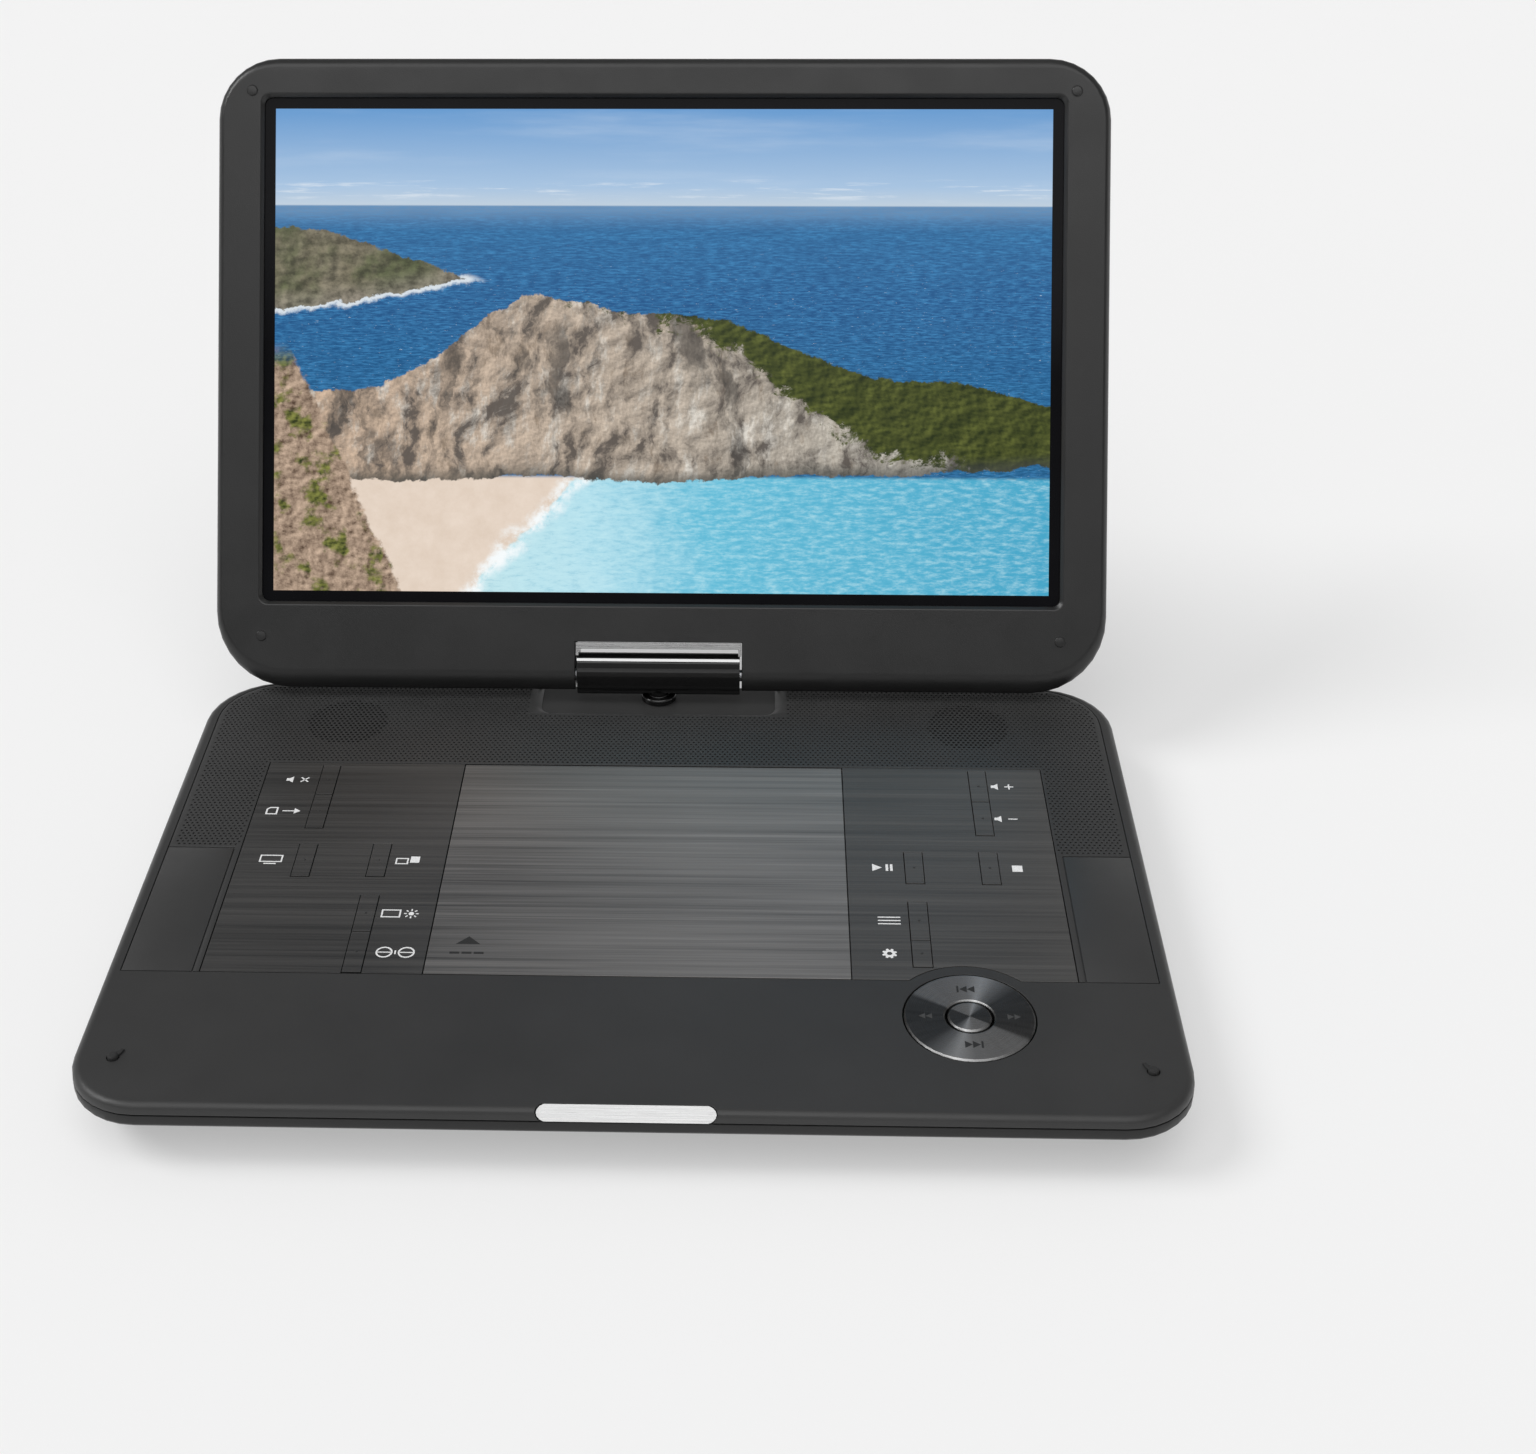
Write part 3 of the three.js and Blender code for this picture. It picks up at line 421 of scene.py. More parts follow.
def circuit(name):
    """A green circuit board: tracks under the lacquer and gold pads on top."""
    material, tree, shader = start_material(name)
    place = place_in(tree)
    blocks = cells(place, 190)
    tracks = between((blocks * 9).combined("FRACT"), 0.35, 0.5)
    pads = between(cells(place, 420), 0.16, 0.12)
    lacquer = mix(tracks, (0.012, 0.09, 0.035), (0.03, 0.17, 0.07))
    with_pads = mix(pads, lacquer, (0.75, 0.6, 0.25))
    return finish_material(
        material,
        shader,
        Base_Color=with_pads,
        Metallic=pads,
        Roughness=between(noise(place, 300), 0.3, 0.7, 0.3, 0.45),
        Normal=bump(tracks, 0.00003),
    )


CELL_DIAMETER = 0.0183  # of the battery's round cells


def wrapped_battery(name):
    """Blue shrink film over two rows of round cells."""
    material, tree, shader = start_material(name)
    place = place_in(tree)
    _, y, _ = parts_of(place)
    row = (y * (math.pi / CELL_DIAMETER)).combined("SINE").size()
    creases = noise(stretched(place, (40, 220, 220)), 1, detail=4)
    colour = mix(between(creases, 0.3, 0.7), (0.02, 0.07, 0.24), (0.05, 0.14, 0.4))
    return finish_material(
        material,
        shader,
        Base_Color=colour,
        Roughness=between(creases, 0.3, 0.7, 0.22, 0.38),
        Normal=bump(row * 0.7 + creases * 0.2, 0.0006),
    )


def acrylic(name):
    material, tree, shader = start_material(name)
    dots = cells(place_in(tree), 600)
    return finish_material(
        material,
        shader,
        Base_Color=mix(between(dots, 0.1, 0.3), (0.95, 0.97, 0.98), (0.78, 0.82, 0.85)),
        Roughness=between(dots, 0.1, 0.3, 0.35, 0.12),
        Transmission_Weight=0.6,
        IOR=1.49,
    )


def rubber(name):
    material, tree, shader = start_material(name)
    place = place_in(tree)
    fine = noise(place, 1600, detail=3)
    return finish_material(
        material,
        shader,
        Base_Color=mix(noise(place, 80, detail=4), (0.008, 0.008, 0.008), (0.022, 0.022, 0.022)),
        Roughness=between(fine, 0.3, 0.7, 0.75, 0.92),
        Normal=bump(fine, 0.00008),
    )


def printed(name, colour):
    """Screen-printed ink, a little uneven at its edges and in its cover."""
    material, tree, shader = start_material(name)
    cover = noise(place_in(tree), 2200, detail=3)
    return finish_material(
        material,
        shader,
        Base_Color=mix(between(cover, 0.25, 0.6), tinted(colour, 0.8), colour),
        Roughness=between(cover, 0.3, 0.7, 0.5, 0.65),
    )


# ---------- the picture on the screen: a made-up coast ----------


PICTURE_MARGIN = 5.9  # the glass reaches this many millimetres past the picture


def coast_picture(tree):
    """A coast seen from a height: sky, open sea, a headland, a pale cliff and a bay with sand."""
    low, high = screen_box("lcd_glass")
    margin = PICTURE_MARGIN
    origin = SCREEN.translation
    up = Vector((0, math.sin(REST_TILT), math.cos(REST_TILT)))
    place = place_in(tree)
    x, y, z = parts_of(place)
    width = (high.x - low.x - 2 * margin) * MM
    height = (high.y - low.y - 2 * margin) * MM
    left = (low.x + margin) * MM
    bottom = (low.y + margin) * MM
    s = (x - left) / width
    t = (y * up.y + z * up.z - (origin.dot(up) + bottom)) / height
    flat = joined(tree, s * (width / height), t)
    wide = noise(flat, 5, detail=6, roughness=0.6)
    rough = noise(flat, 22, detail=8, roughness=0.7)
    ragged = (wide - 0.5) * 0.07 + (rough - 0.5) * 0.05

    # Sky, hazy at the horizon, with a low line of cloud.
    sky = ramp(t, [(0.80, (0.52, 0.62, 0.72)), (0.84, (0.38, 0.54, 0.74)), (1.0, (0.13, 0.32, 0.62))])
    cloud = noise(joined(tree, s * 9, t * 80), 1, detail=7, roughness=0.66)
    low_cloud = between(cloud, 0.52, 0.7) * between((t - 0.832).size(), 0.035, 0.0)
    high_cloud = between(noise(joined(tree, s * 2.2, t * 12), 1, detail=7), 0.45, 0.8) * 0.4
    sky = mix(low_cloud * 0.75, sky, (0.78, 0.83, 0.88))
    sky = mix(high_cloud, sky, (0.6, 0.7, 0.82))

    # Sea, with short waves and a few white crests.
    deep_sea = [
        (0.3, (0.012, 0.1, 0.22)),
        (0.6, (0.012, 0.085, 0.24)),
        (0.77, (0.03, 0.14, 0.32)),
        (0.8, (0.16, 0.28, 0.44)),
    ]
    swell = noise(joined(tree, s * 70, t * 300), 1, detail=6, roughness=0.7)
    wide_swell = noise(joined(tree, s * 9, t * 70), 1, detail=4)
    sea = mix(between(swell, 0.38, 0.68), ramp(t, deep_sea), (0.05, 0.24, 0.5))
    sea = mix(between(wide_swell, 0.35, 0.65) * 0.35, sea, (0.015, 0.09, 0.24))
    crests = between(noise(joined(tree, s * 120, t * 420), 1, detail=4, roughness=0.72), 0.64, 0.7)
    sea = mix(crests * between(t, 0.79, 0.55) * 0.7, sea, (0.75, 0.85, 0.92))
    sea = mix(between(t, 0.74, 0.8) * 0.6, sea, (0.16, 0.3, 0.5))

    # Bay: milky over the sand, deeper and clearer to the right.
    ripples = noise(joined(tree, s * 55, t * 110), 1, detail=7, roughness=0.72)
    shallow = [
        (0.2, (0.55, 0.78, 0.82)),
        (0.42, (0.45, 0.74, 0.84)),
        (0.56, (0.14, 0.52, 0.7)),
        (1.0, (0.06, 0.38, 0.58)),
    ]
    bay = ramp(s + (wide - 0.5) * 0.2 + (rough - 0.5) * 0.12, shallow)
    bay = mix(between(ripples, 0.42, 0.72) * 0.55, bay, (0.58, 0.85, 0.9))
    bay = mix(between(ripples, 0.5, 0.3) * 0.3, bay, (0.05, 0.36, 0.54))

    # Sand in two coves, with a soft line of foam along the water.
    shore = t * 0.55 + 0.26 + (wide - 0.5) * 0.12
    sand = mix(rough, (0.66, 0.53, 0.42), (0.88, 0.76, 0.66))
    bay = mix(between(s - shore, 0.004, -0.004), bay, sand)
    foam = between((s - shore).size(), 0.026, 0.004) * between(rough, 0.35, 0.6)
    bay = mix(foam, bay, (0.92, 0.96, 0.97))

    # Cliff: its top edge and its foot across the picture, with deep gullies.
    skyline = [
        (0.0, 0.43),
        (0.12, 0.4),
        (0.22, 0.5),
        (0.3, 0.61),
        (0.36, 0.625),
        (0.46, 0.57),
        (0.56, 0.585),
        (0.66, 0.52),
        (0.78, 0.43),
        (0.88, 0.455),
        (1.0, 0.38),
    ]
    waterside = [
        (0.0, 0.24),
        (0.2, 0.22),
        (0.34, 0.25),
        (0.5, 0.215),
        (0.64, 0.25),
        (0.8, 0.235),
        (1.0, 0.27),
    ]
    top = ramp(s, skyline, "B_SPLINE")
    foot = ramp(s, waterside, "B_SPLINE")
    edge_noise = (rough - 0.5) * 0.045
    bend = (wide - 0.5) * 0.5
    crags = relief(tree, s * 15 + bend * 3, t * 6 - s * 3, step=0.16, depth=0.1)
    rubble = relief(tree, s * 62, t * 34, detail=8, depth=0.13)
    strata = noise(joined(tree, s * 34 + bend * 2, t * 8 - s * 5), 1, detail=9, roughness=0.7)
    cracks = noise(joined(tree, s * 24, t * 18), 1, detail=10, roughness=0.8, distortion=0.5)
    gullies = noise(joined(tree, s * 13 + bend * 3, t * 3), 1, detail=6, roughness=0.6, distortion=0.4)
    stone = mix(s, (0.72, 0.52, 0.37), (0.56, 0.57, 0.52))
    stone = mix(between(strata, 0.5, 0.66) * 0.8, stone, (0.92, 0.88, 0.8))
    stone = mix(between(strata, 0.46, 0.34) * 0.7, stone, (0.26, 0.19, 0.13))
    stone = mix((1 - crags).power(1.6) * 0.95, stone, (0.1, 0.085, 0.075))
    stone = mix((1 - rubble) * 0.5, stone, (0.1, 0.085, 0.07))
    stone = mix(between(gullies, 0.46, 0.37) * 0.7, stone, (0.06, 0.055, 0.05))
    down = top - t
    bushes = relief(tree, s * 90, t * 74, detail=3, roughness=0.5, step=0.3, depth=0.2)
    clumps = relief(tree, s * 30 + bend, t * 26, detail=4, roughness=0.5, step=0.25, depth=0.2)
    green = mix(rough, (0.05, 0.07, 0.012), (0.2, 0.22, 0.05))
    green = mix((1 - bushes) * 0.75, green, (0.01, 0.02, 0.005))
    green = mix((1 - clumps) * 0.65, green, (0.008, 0.016, 0.006))
    cover = between(s, 0.42, 0.86) * 0.17 + 0.012
    growth = between(down + (cracks - 0.5) * 0.24, cover, cover - 0.02) * between(s, 0.3, 0.42)
    cliff = mix(growth, stone, green)
    cliff = mix(between(t - foot, 0.035, 0.0) * 0.7, cliff, (0.05, 0.055, 0.05))
    on_cliff = between(down + edge_noise, 0.0, 0.004) * between(t - foot + edge_noise, 0.0, 0.004)

    # Headland on the left, with surf along its foot.
    ridge_line = [(0.0, 0.76), (0.08, 0.75), (0.15, 0.7), (0.22, 0.68), (0.3, 0.6)]
    surf_line = [(0.0, 0.58), (0.1, 0.6), (0.18, 0.625), (0.25, 0.65), (0.3, 0.66)]
    ridge = ramp(s, ridge_line, "B_SPLINE")
    shoreline = ramp(s, surf_line, "B_SPLINE")
    hills = relief(tree, s * 34, t * 26, detail=7, step=0.2, depth=0.14)
    far_land = mix(rough, (0.16, 0.14, 0.08), (0.36, 0.32, 0.24))
    far_land = mix(between(wide, 0.42, 0.6) * 0.7, far_land, (0.07, 0.11, 0.03))
    far_land = mix(between(t - shoreline, 0.05, 0.0) * 0.6, far_land, (0.42, 0.37, 0.31))
    far_land = mix((1 - hills) * 0.75, far_land, (0.03, 0.03, 0.02))
    on_far = between(ridge - t + edge_noise, 0.0, 0.004)
    on_far = on_far * between(t - shoreline + edge_noise, 0.0, 0.003)
    surf = between((t - shoreline + edge_noise).size(), 0.012, 0.002) * between(ridge - t, -0.02, 0.0)

    # Slope in the left foreground.
    slope = between(t * 0.3 + s + ragged * 0.7, 0.172, 0.166) * between(t, 0.52, 0.46)
    ledges = relief(tree, s * 30, t * 20, detail=8, depth=0.14)
    near = mix(ledges, (0.09, 0.055, 0.035), (0.62, 0.46, 0.34))
    leafy = mix(bushes, (0.03, 0.04, 0.01), (0.24, 0.25, 0.06))
    near = mix(between(noise(flat, 16, detail=7), 0.5, 0.6), near, leafy)

    water_line = between(t, 0.235, 0.245)
    picture = mix(water_line, bay, sea)
    picture = mix(surf * 0.8, picture, (0.85, 0.9, 0.92))
    picture = mix(on_far, picture, far_land)
    picture = mix(on_cliff, picture, cliff)
    picture = mix(slope, picture, near)
    picture = mix(between(t, 0.798, 0.802), picture, sky)
    inside = between((s - 0.5).size(), 0.5, 0.4995) * between((t - 0.5).size(), 0.5, 0.4992)
    return picture, inside


def lit_screen(name):
    """The display's glass: the picture glows inside a black border."""
    material, tree, shader = start_material(name)
    picture, inside = coast_picture(tree)
    smudges = noise(place_in(tree), 30, detail=5)
    return finish_material(
        material,
        shader,
        Base_Color=mix(smudges, (0.003, 0.003, 0.004), (0.007, 0.007, 0.008)),
        Roughness=between(smudges, 0.3, 0.7, 0.08, 0.13),
        Emission_Color=mix(inside, (0.0, 0.0, 0.0), picture),
        Emission_Strength=1.0,
        Specular_IOR_Level=0.06,
    )


MATERIALS = {
    "casing": moulded("casing", grey(0.029), 0.4, Specular_IOR_Level=0.38),
    "screen_casing": moulded("screen_casing", grey(0.009), 0.36, Specular_IOR_Level=0.5),
    "lower_casing": moulded("lower_casing", grey(0.019), 0.44, Specular_IOR_Level=0.3),
    "deck": moulded("deck", grey(0.027), 0.46),
    # The panel and the lid get a painted sheen that grows lighter towards their right.
    "panel": brushed("panel", grey(0.018), (0.087, 0.084, 0.081), 0.4, 0.0, lines=0.4, painted_sheen_drift=0.45),
    "lid": brushed("lid", grey(0.032), (0.258, 0.249, 0.241), 0.36, 0.35, painted_sheen_drift=0.7),
    "key": moulded("key", grey(0.02), 0.38),
    # The D-pad's metal carries two fans of painted highlight in its colour.
    "spun_painted_fans": spun_painted_fans("spun_painted_fans", grey(0.022), grey(0.5), 0.3),
    "gloss": gloss("gloss", grey(0.003)),
    # Bright brushed metal; on the hinge's barrel and notch trims its brightness is a painted highlight.
    "bright": brushed("bright", grey(0.44), grey(0.5), 0.28, 0.9, along=40, across=3000),
    "rubber": rubber("rubber"),
    "screen_glass": lit_screen("screen_glass"),
    "steel": metal("steel", (0.55, 0.56, 0.58), 0.32),
    "tray_metal": metal("tray_metal", (0.62, 0.63, 0.62), 0.4),
    "port_shell": metal("port_shell", (0.7, 0.7, 0.68), 0.25),
    "gold": metal("gold", (0.85, 0.62, 0.25), 0.22),
    "board": circuit("board"),
    "battery": wrapped_battery("battery"),
    "acrylic": acrylic("acrylic"),
    "drive": moulded("drive", grey(0.03), 0.42),
    "speaker": moulded("speaker", grey(0.02), 0.7, grain=0.0001, grain_scale=1300),
    "connector": moulded("connector", grey(0.014), 0.45),
    "white_print": printed("white_print", grey(0.78)),
    "dark_print": printed("dark_print", grey(0.012)),
    "grey_print": printed("grey_print", grey(0.045)),
    "lens": gloss("lens", (0.02, 0.03, 0.09), 0.03),
}

# ---------- CAD nodes: material and softened edges ----------

NODE_LOOKS = {
    "casing": ["top_cover"],
    "lower_casing": ["bottom_case"],
    "screen_casing": ["screen_bezel", "screen_back"],
    "deck": ["deck_panel"],
    "panel": ["button_panel_left", "button_panel_right", *KEYS],
    "lid": ["disc_lid"],
    "key": ["power_switch"],
    "spun_painted_fans": ["dpad_ring", "dpad_button"],
    "gloss": ["hinge_barrel", "swivel_post"],
    # The barrel and notch trims stand where the glossy black hinge shows highlights: painted highlights
    # in bright metal. The front trim is a bright insert.
    "bright": ["barrel_trim", "notch_trim", "front_trim"],
    "rubber": [node for node in NODES if node.startswith(("foot_", "bumper_"))],
    "screen_glass": ["lcd_glass"],
    "steel": [
        "hinge_bracket_left",
        "hinge_bracket_right",
        "hinge_mount",
        "drive_chassis",
        "sled_rail",
        "lead_screw",
        "spindle_motor",
    ],
    "tray_metal": ["lcd_tray"],
    "port_shell": ["usb_port", "card_slot"],
    "board": ["main_board", "key_board_left", "key_board_right", "display_board"],
    "battery": ["battery_pack"],
    "acrylic": ["light_guide"],
    "drive": ["deck_tray", "laser_sled", "turntable"],
    "speaker": ["speaker_left", "speaker_right"],
    "connector": ["dpad_pivot", "dc_jack", "av_jack", "earphone_jack"],
}
EDGE_ROUNDING = {
    "casing": 0.3,
    "lower_casing": 0.3,
    "screen_casing": 0.35,
    "deck": 0.15,
    "panel": 0.14,
    "lid": 0.2,
    "key": 0.2,
    "spun_painted_fans": 0.15,
    "gloss": 0.3,
    "bright": 0.12,
    "rubber": 0.25,
    "screen_glass": 0.1,
}
PLAIN_ROUNDING = 0.12
SHARP_ANGLE = math.radians(35)  # edges that turn by more than this are rounded or kept sharp
FINE_ROUNDING = {"top_cover": 0.2, "deck_tray": 0.05}  # their holes and walls lie close together


def soften(thing, width):
    """Joins the mesh's faces, rounds its sharp edges and evens its shading."""
    for polygon in thing.data.polygons:
        polygon.use_smooth = True
    if "custom_normal" in thing.data.attributes:
        thing.data.attributes.remove(thing.data.attributes["custom_normal"])
    weld = thing.modifiers.new("weld", "WELD")
    weld.merge_threshold = 0.000002
    flat = thing.modifiers.new("flat", "DECIMATE")
    flat.decimate_type = "DISSOLVE"
    flat.angle_limit = math.radians(0.5)
    round_off = thing.modifiers.new("round", "BEVEL")
    round_off.width = width * MM
    round_off.segments = 2
    round_off.limit_method = "ANGLE"
    round_off.angle_limit = SHARP_ANGLE
    round_off.use_clamp_overlap = False
    shading = thing.modifiers.new("shading", "WEIGHTED_NORMAL")
    shading.weight = 50
    shading.keep_sharp = False


for look, nodes in NODE_LOOKS.items():
    for node in nodes:
        thing = NODES[node]
        thing.data.materials.clear()
        thing.data.materials.append(MATERIALS[look])
        soften(thing, FINE_ROUNDING.get(node, EDGE_ROUNDING.get(look, PLAIN_ROUNDING)))

# ---------- drawing new pieces ----------


def circle(radius, x=0.0, y=0.0, sides=24):
    angles = [2 * math.pi * step / sides for step in range(sides)]
    return [(x + radius * math.cos(a), y + radius * math.sin(a)) for a in angles]


def rectangle(x0, x1, y0, y1):
    return [(x0, y0), (x1, y0), (x1, y1), (x0, y1)]


def slanted(length, width, x, y, angle):
    """A bar about a point, turned by an angle."""
    c, s = math.cos(angle), math.sin(angle)
    corners = rectangle(-length / 2, length / 2, -width / 2, width / 2)
    return [(x + a * c - b * s, y + a * s + b * c) for a, b in corners]


class Solid:
    """A closed mesh in the making, drawn in millimetres."""

    def __init__(self):
        self.points = []
        self.faces = []

    def prism(self, outline, z0, z1):
        start, count = len(self.points), len(outline)
        self.points += [(x, y, z) for z in (z0, z1) for x, y in outline]
        self.faces.append([start + i for i in reversed(range(count))])
        self.faces.append([start + count + i for i in range(count)])
        for i in range(count):
            j = (i + 1) % count
            self.faces.append([start + i, start + j, start + count + j, start + count + i])
        return self

    def band(self, outer, inner, z0, z1):
        """A flat ring between two outlines with the same number of points."""
        start, count = len(self.points), len(outer)
        for outline, z in ((outer, z0), (outer, z1), (inner, z1), (inner, z0)):
            self.points += [(x, y, z) for x, y in outline]
        for level in range(4):
            for i in range(count):
                j = (i + 1) % count
                a, b = start + level * count, start + (level + 1) % 4 * count
                self.faces.append([a + i, a + j, b + j, b + i])
        return self

    def turned(self, profile, x, y, sides=24):
        """A round body from (radius, height) points, lowest first, that starts and ends on its axis."""
        start = len(self.points)
        inner = profile[1:-1]
        self.points.append((x, y, profile[0][1]))
        for radius, z in inner:
            self.points += [(px, py, z) for px, py in circle(radius, x, y, sides)]
        self.points.append((x, y, profile[-1][1]))
        last = len(self.points) - 1
        for i in range(sides):
            j = (i + 1) % sides
            self.faces.append([start, start + 1 + j, start + 1 + i])
            for level in range(len(inner) - 1):
                a, b = start + 1 + level * sides, start + 1 + (level + 1) * sides
                self.faces.append([a + i, a + j, b + j, b + i])
            a = start + 1 + (len(inner) - 1) * sides
            self.faces.append([a + i, a + j, last])
        return self

    def grown(self, factor):
        """Larger across and along, but no thicker."""
        self.points = [(x * factor, y * factor, z) for x, y, z in self.points]
        return self

    def shift(self, x, y):
        self.points = [(px + x, py + y, z) for px, py, z in self.points]
        return self

    def mesh(self, name, space=BASE):
        mesh = bpy.data.meshes.new(name)
        mesh.from_pydata([space @ Vector(point) for point in self.points], [], self.faces)
        mesh.update()
        return mesh


def add_piece(name, mesh, look, body):
    """Makes a piece that rides on a body; its edges past the sharp angle stay sharp."""
    mesh.materials.clear()
    mesh.materials.append(MATERIALS[look])
    for polygon in mesh.polygons:
        polygon.use_smooth = True
    mesh.set_sharp_from_angle(angle=SHARP_ANGLE)
    piece = bpy.data.objects.new(name, mesh)
    bpy.context.scene.collection.objects.link(piece)
    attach(piece, body)
    return piece


def temporary(name, mesh):
    thing = bpy.data.objects.new(name, mesh)
    bpy.context.scene.collection.objects.link(thing)
    return thing


def carved(source, cutter):
    """The mesh left when an object's closed mesh is cut by another. The object is removed."""
    tool = temporary("tool", cutter)
    cut = source.modifiers.new("cut", "BOOLEAN")
    cut.operation = "DIFFERENCE"
    cut.solver = "MANIFOLD"
    cut.object = tool
    bpy.context.view_layer.update()
    graph = bpy.context.evaluated_depsgraph_get()
    mesh = bpy.data.meshes.new_from_object(source.evaluated_get(graph), depsgraph=graph)
    bpy.data.objects.remove(tool)
    bpy.data.objects.remove(source)
    return mesh


def carved_node(node, width, tool):
    """A CAD node's mesh with rounded edges, cut by a solid."""
    source = temporary("source", NODES[node].data.copy())
    soften(source, width)
    source.modifiers.remove(source.modifiers["shading"])
    return carved(source, tool.mesh("cutter"))


# ---------- dotted deck with speaker holes ----------

DOT_PITCH = 2.0
DOT_RADIUS = 0.52
DOT_DEPTH = 0.4
SPEAKER_RADIUS = 16.6
SPEAKER_HOLE_RADIUS = 0.68
SPEAKER_HOLE_DEPTH = 3
DOT_SIDES = 6
DOT_MARGIN = 1.6
ROW_PITCH = DOT_PITCH * math.sqrt(0.75)
DECK_CORNER = 27.0  # the deck's corner radius
PLAIN_FIELD_REACH = 7.6  # the side strips' plain field ends this far behind the screen key
HINGE_FIELD = (55, 18.5)  # half the width and the depth of the plain field by the hinge


def deck_dots():
    """Where the dots are: (x, y, is a speaker hole), in staggered rows."""
    low, high = millimetres("deck_panel")
    panel_back = millimetres("button_panel_left")[1].y + DOT_MARGIN
    side_x = millimetres("button_panel_right")[1].x + DOT_MARGIN
    field_back = middle("key_screen").y + PLAIN_FIELD_REACH + DOT_MARGIN
    hinge = middle("swivel_post")
    rows = int((high.y - low.y) / ROW_PITCH) + 1
    columns = int(high.x / DOT_PITCH) + 1
    for row in range(rows):
        y = high.y - DOT_MARGIN - row * ROW_PITCH
        for column in range(-columns, columns + 1):
            x = (column + (row % 2) / 2) * DOT_PITCH
            reach = abs(x)
            if reach > high.x - DOT_MARGIN or y < field_back:
                continue
            if y < panel_back and reach < side_x:
                continue
            past_x, past_y = reach - (high.x - DECK_CORNER), y - (high.y - DECK_CORNER)
            in_corner = past_x > 0 and past_y > 0
            if in_corner and math.hypot(past_x, past_y) > DECK_CORNER - DOT_MARGIN:
                continue
            if reach < HINGE_FIELD[0] and y > hinge.y - HINGE_FIELD[1]:
                continue
            near = min(math.hypot(x - spot.x, y - spot.y) for spot in SPEAKERS)
            yield x, y, near < SPEAKER_RADIUS


def dotted_deck():
    """The deck panel with its dots pressed in and the speakers' holes cut through."""
    tool = Solid()
    for x, y, is_hole in deck_dots():
        radius = SPEAKER_HOLE_RADIUS if is_hole else DOT_RADIUS
        depth = SPEAKER_HOLE_DEPTH if is_hole else DOT_DEPTH
        tool.prism(circle(radius, x, y, DOT_SIDES), PANEL_TOP - depth, PANEL_TOP + 1)
    mesh = carved_node("deck_panel", EDGE_ROUNDING["deck"], tool)
    piece = add_piece("deck_panel_dotted", mesh, "deck", "base")
    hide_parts("deck_panel")


dotted_deck()

# ---------- printed symbols beside the keys ----------

LINE = 0.45  # the width of a printed line
PRINT = 0.05  # how far the ink stands up
SIGN_SCALE = 1.3


def speaker_sign(x):
    upper = [(x + 0.4, 1.6), (x - 0.8, 0.65), (x - 1.7, 0.65)]
    return [(px, -py) for px, py in reversed(upper)] + upper


def triangle(x, y, reach, half):
    near, tip, far = (x, y - half), (x + reach, y), (x, y + half)
    return [near, tip, far] if reach > 0 else [tip, near, far]


def frame_sign(solid, x0, x1, y0, y1, z):
    inner = rectangle(x0 + LINE, x1 - LINE, y0 + LINE, y1 - LINE)
    solid.band(rectangle(x0, x1, y0, y1), inner, z, z + PRINT)


def draw_mute(solid, z):
    solid.prism(speaker_sign(-2.4), z, z + PRINT)
    for angle in (math.pi / 4, -math.pi / 4):
        solid.prism(slanted(3.3, LINE, 1.6, 0, angle), z, z + PRINT)


def draw_source(solid, z):
    card = [(-5.2, -1.9), (-1.6, -1.9), (-1.6, 1.9), (-4.2, 1.9), (-5.2, 0.9)]
    inner = [(-4.7, -1.4), (-2.1, -1.4), (-2.1, 1.4), (-4.0, 1.4), (-4.7, 0.7)]
    solid.band(card, inner, z, z + PRINT)
    solid.prism(rectangle(-0.2, 3.4, -LINE / 2, LINE / 2), z, z + PRINT)
    solid.prism(triangle(3.4, 0, 1.9, 1.4), z, z + PRINT)


def draw_screen(solid, z):
    frame_sign(solid, -3.4, 3.4, -1.2, 2.3, z)
    solid.prism(rectangle(-1.8, 1.8, -2.2, -1.7), z, z + PRINT)


def draw_mode(solid, z):
    frame_sign(solid, -3.4, 0.4, -1.9, 1.1, z)
    solid.prism(rectangle(0.9, 3.6, -1.1, 1.9), z, z + PRINT)


def draw_display(solid, z):
    frame_sign(solid, -5.4, 0.2, -1.8, 1.8, z)
    solid.prism(circle(0.8, 3.2, 0, 12), z, z + PRINT)
    for ray in range(8):
        angle = ray * math.pi / 4
        x, y = 3.2 + 1.7 * math.cos(angle), 1.7 * math.sin(angle)
        solid.prism(slanted(0.8, 0.4, x, y, angle), z, z + PRINT)


def draw_language(solid, z):
    for x in (-3.1, 3.1):
        solid.band(circle(2.4, x, 0, 16), circle(1.9, x, 0, 16), z, z + PRINT)
        solid.prism(rectangle(x - 2, x + 2, -0.2, 0.2), z, z + PRINT)
    solid.prism(slanted(1.6, LINE, 0, 0, math.pi / 2), z, z + PRINT)


def draw_louder(solid, z):
    solid.prism(speaker_sign(-2.2), z, z + PRINT)
    solid.prism(rectangle(0.2, 3.0, -LINE / 2, LINE / 2), z, z + PRINT)
    solid.prism(rectangle(1.6 - LINE / 2, 1.6 + LINE / 2, -1.4, -LINE / 2), z, z + PRINT)
    solid.prism(rectangle(1.6 - LINE / 2, 1.6 + LINE / 2, LINE / 2, 1.4), z, z + PRINT)


def draw_softer(solid, z):
    solid.prism(speaker_sign(-2.2), z, z + PRINT)
    solid.prism(rectangle(0.2, 3.0, -LINE / 2, LINE / 2), z, z + PRINT)


def draw_stop(solid, z):
    solid.prism(rectangle(-1.5, 1.5, -1.5, 1.5), z, z + PRINT)


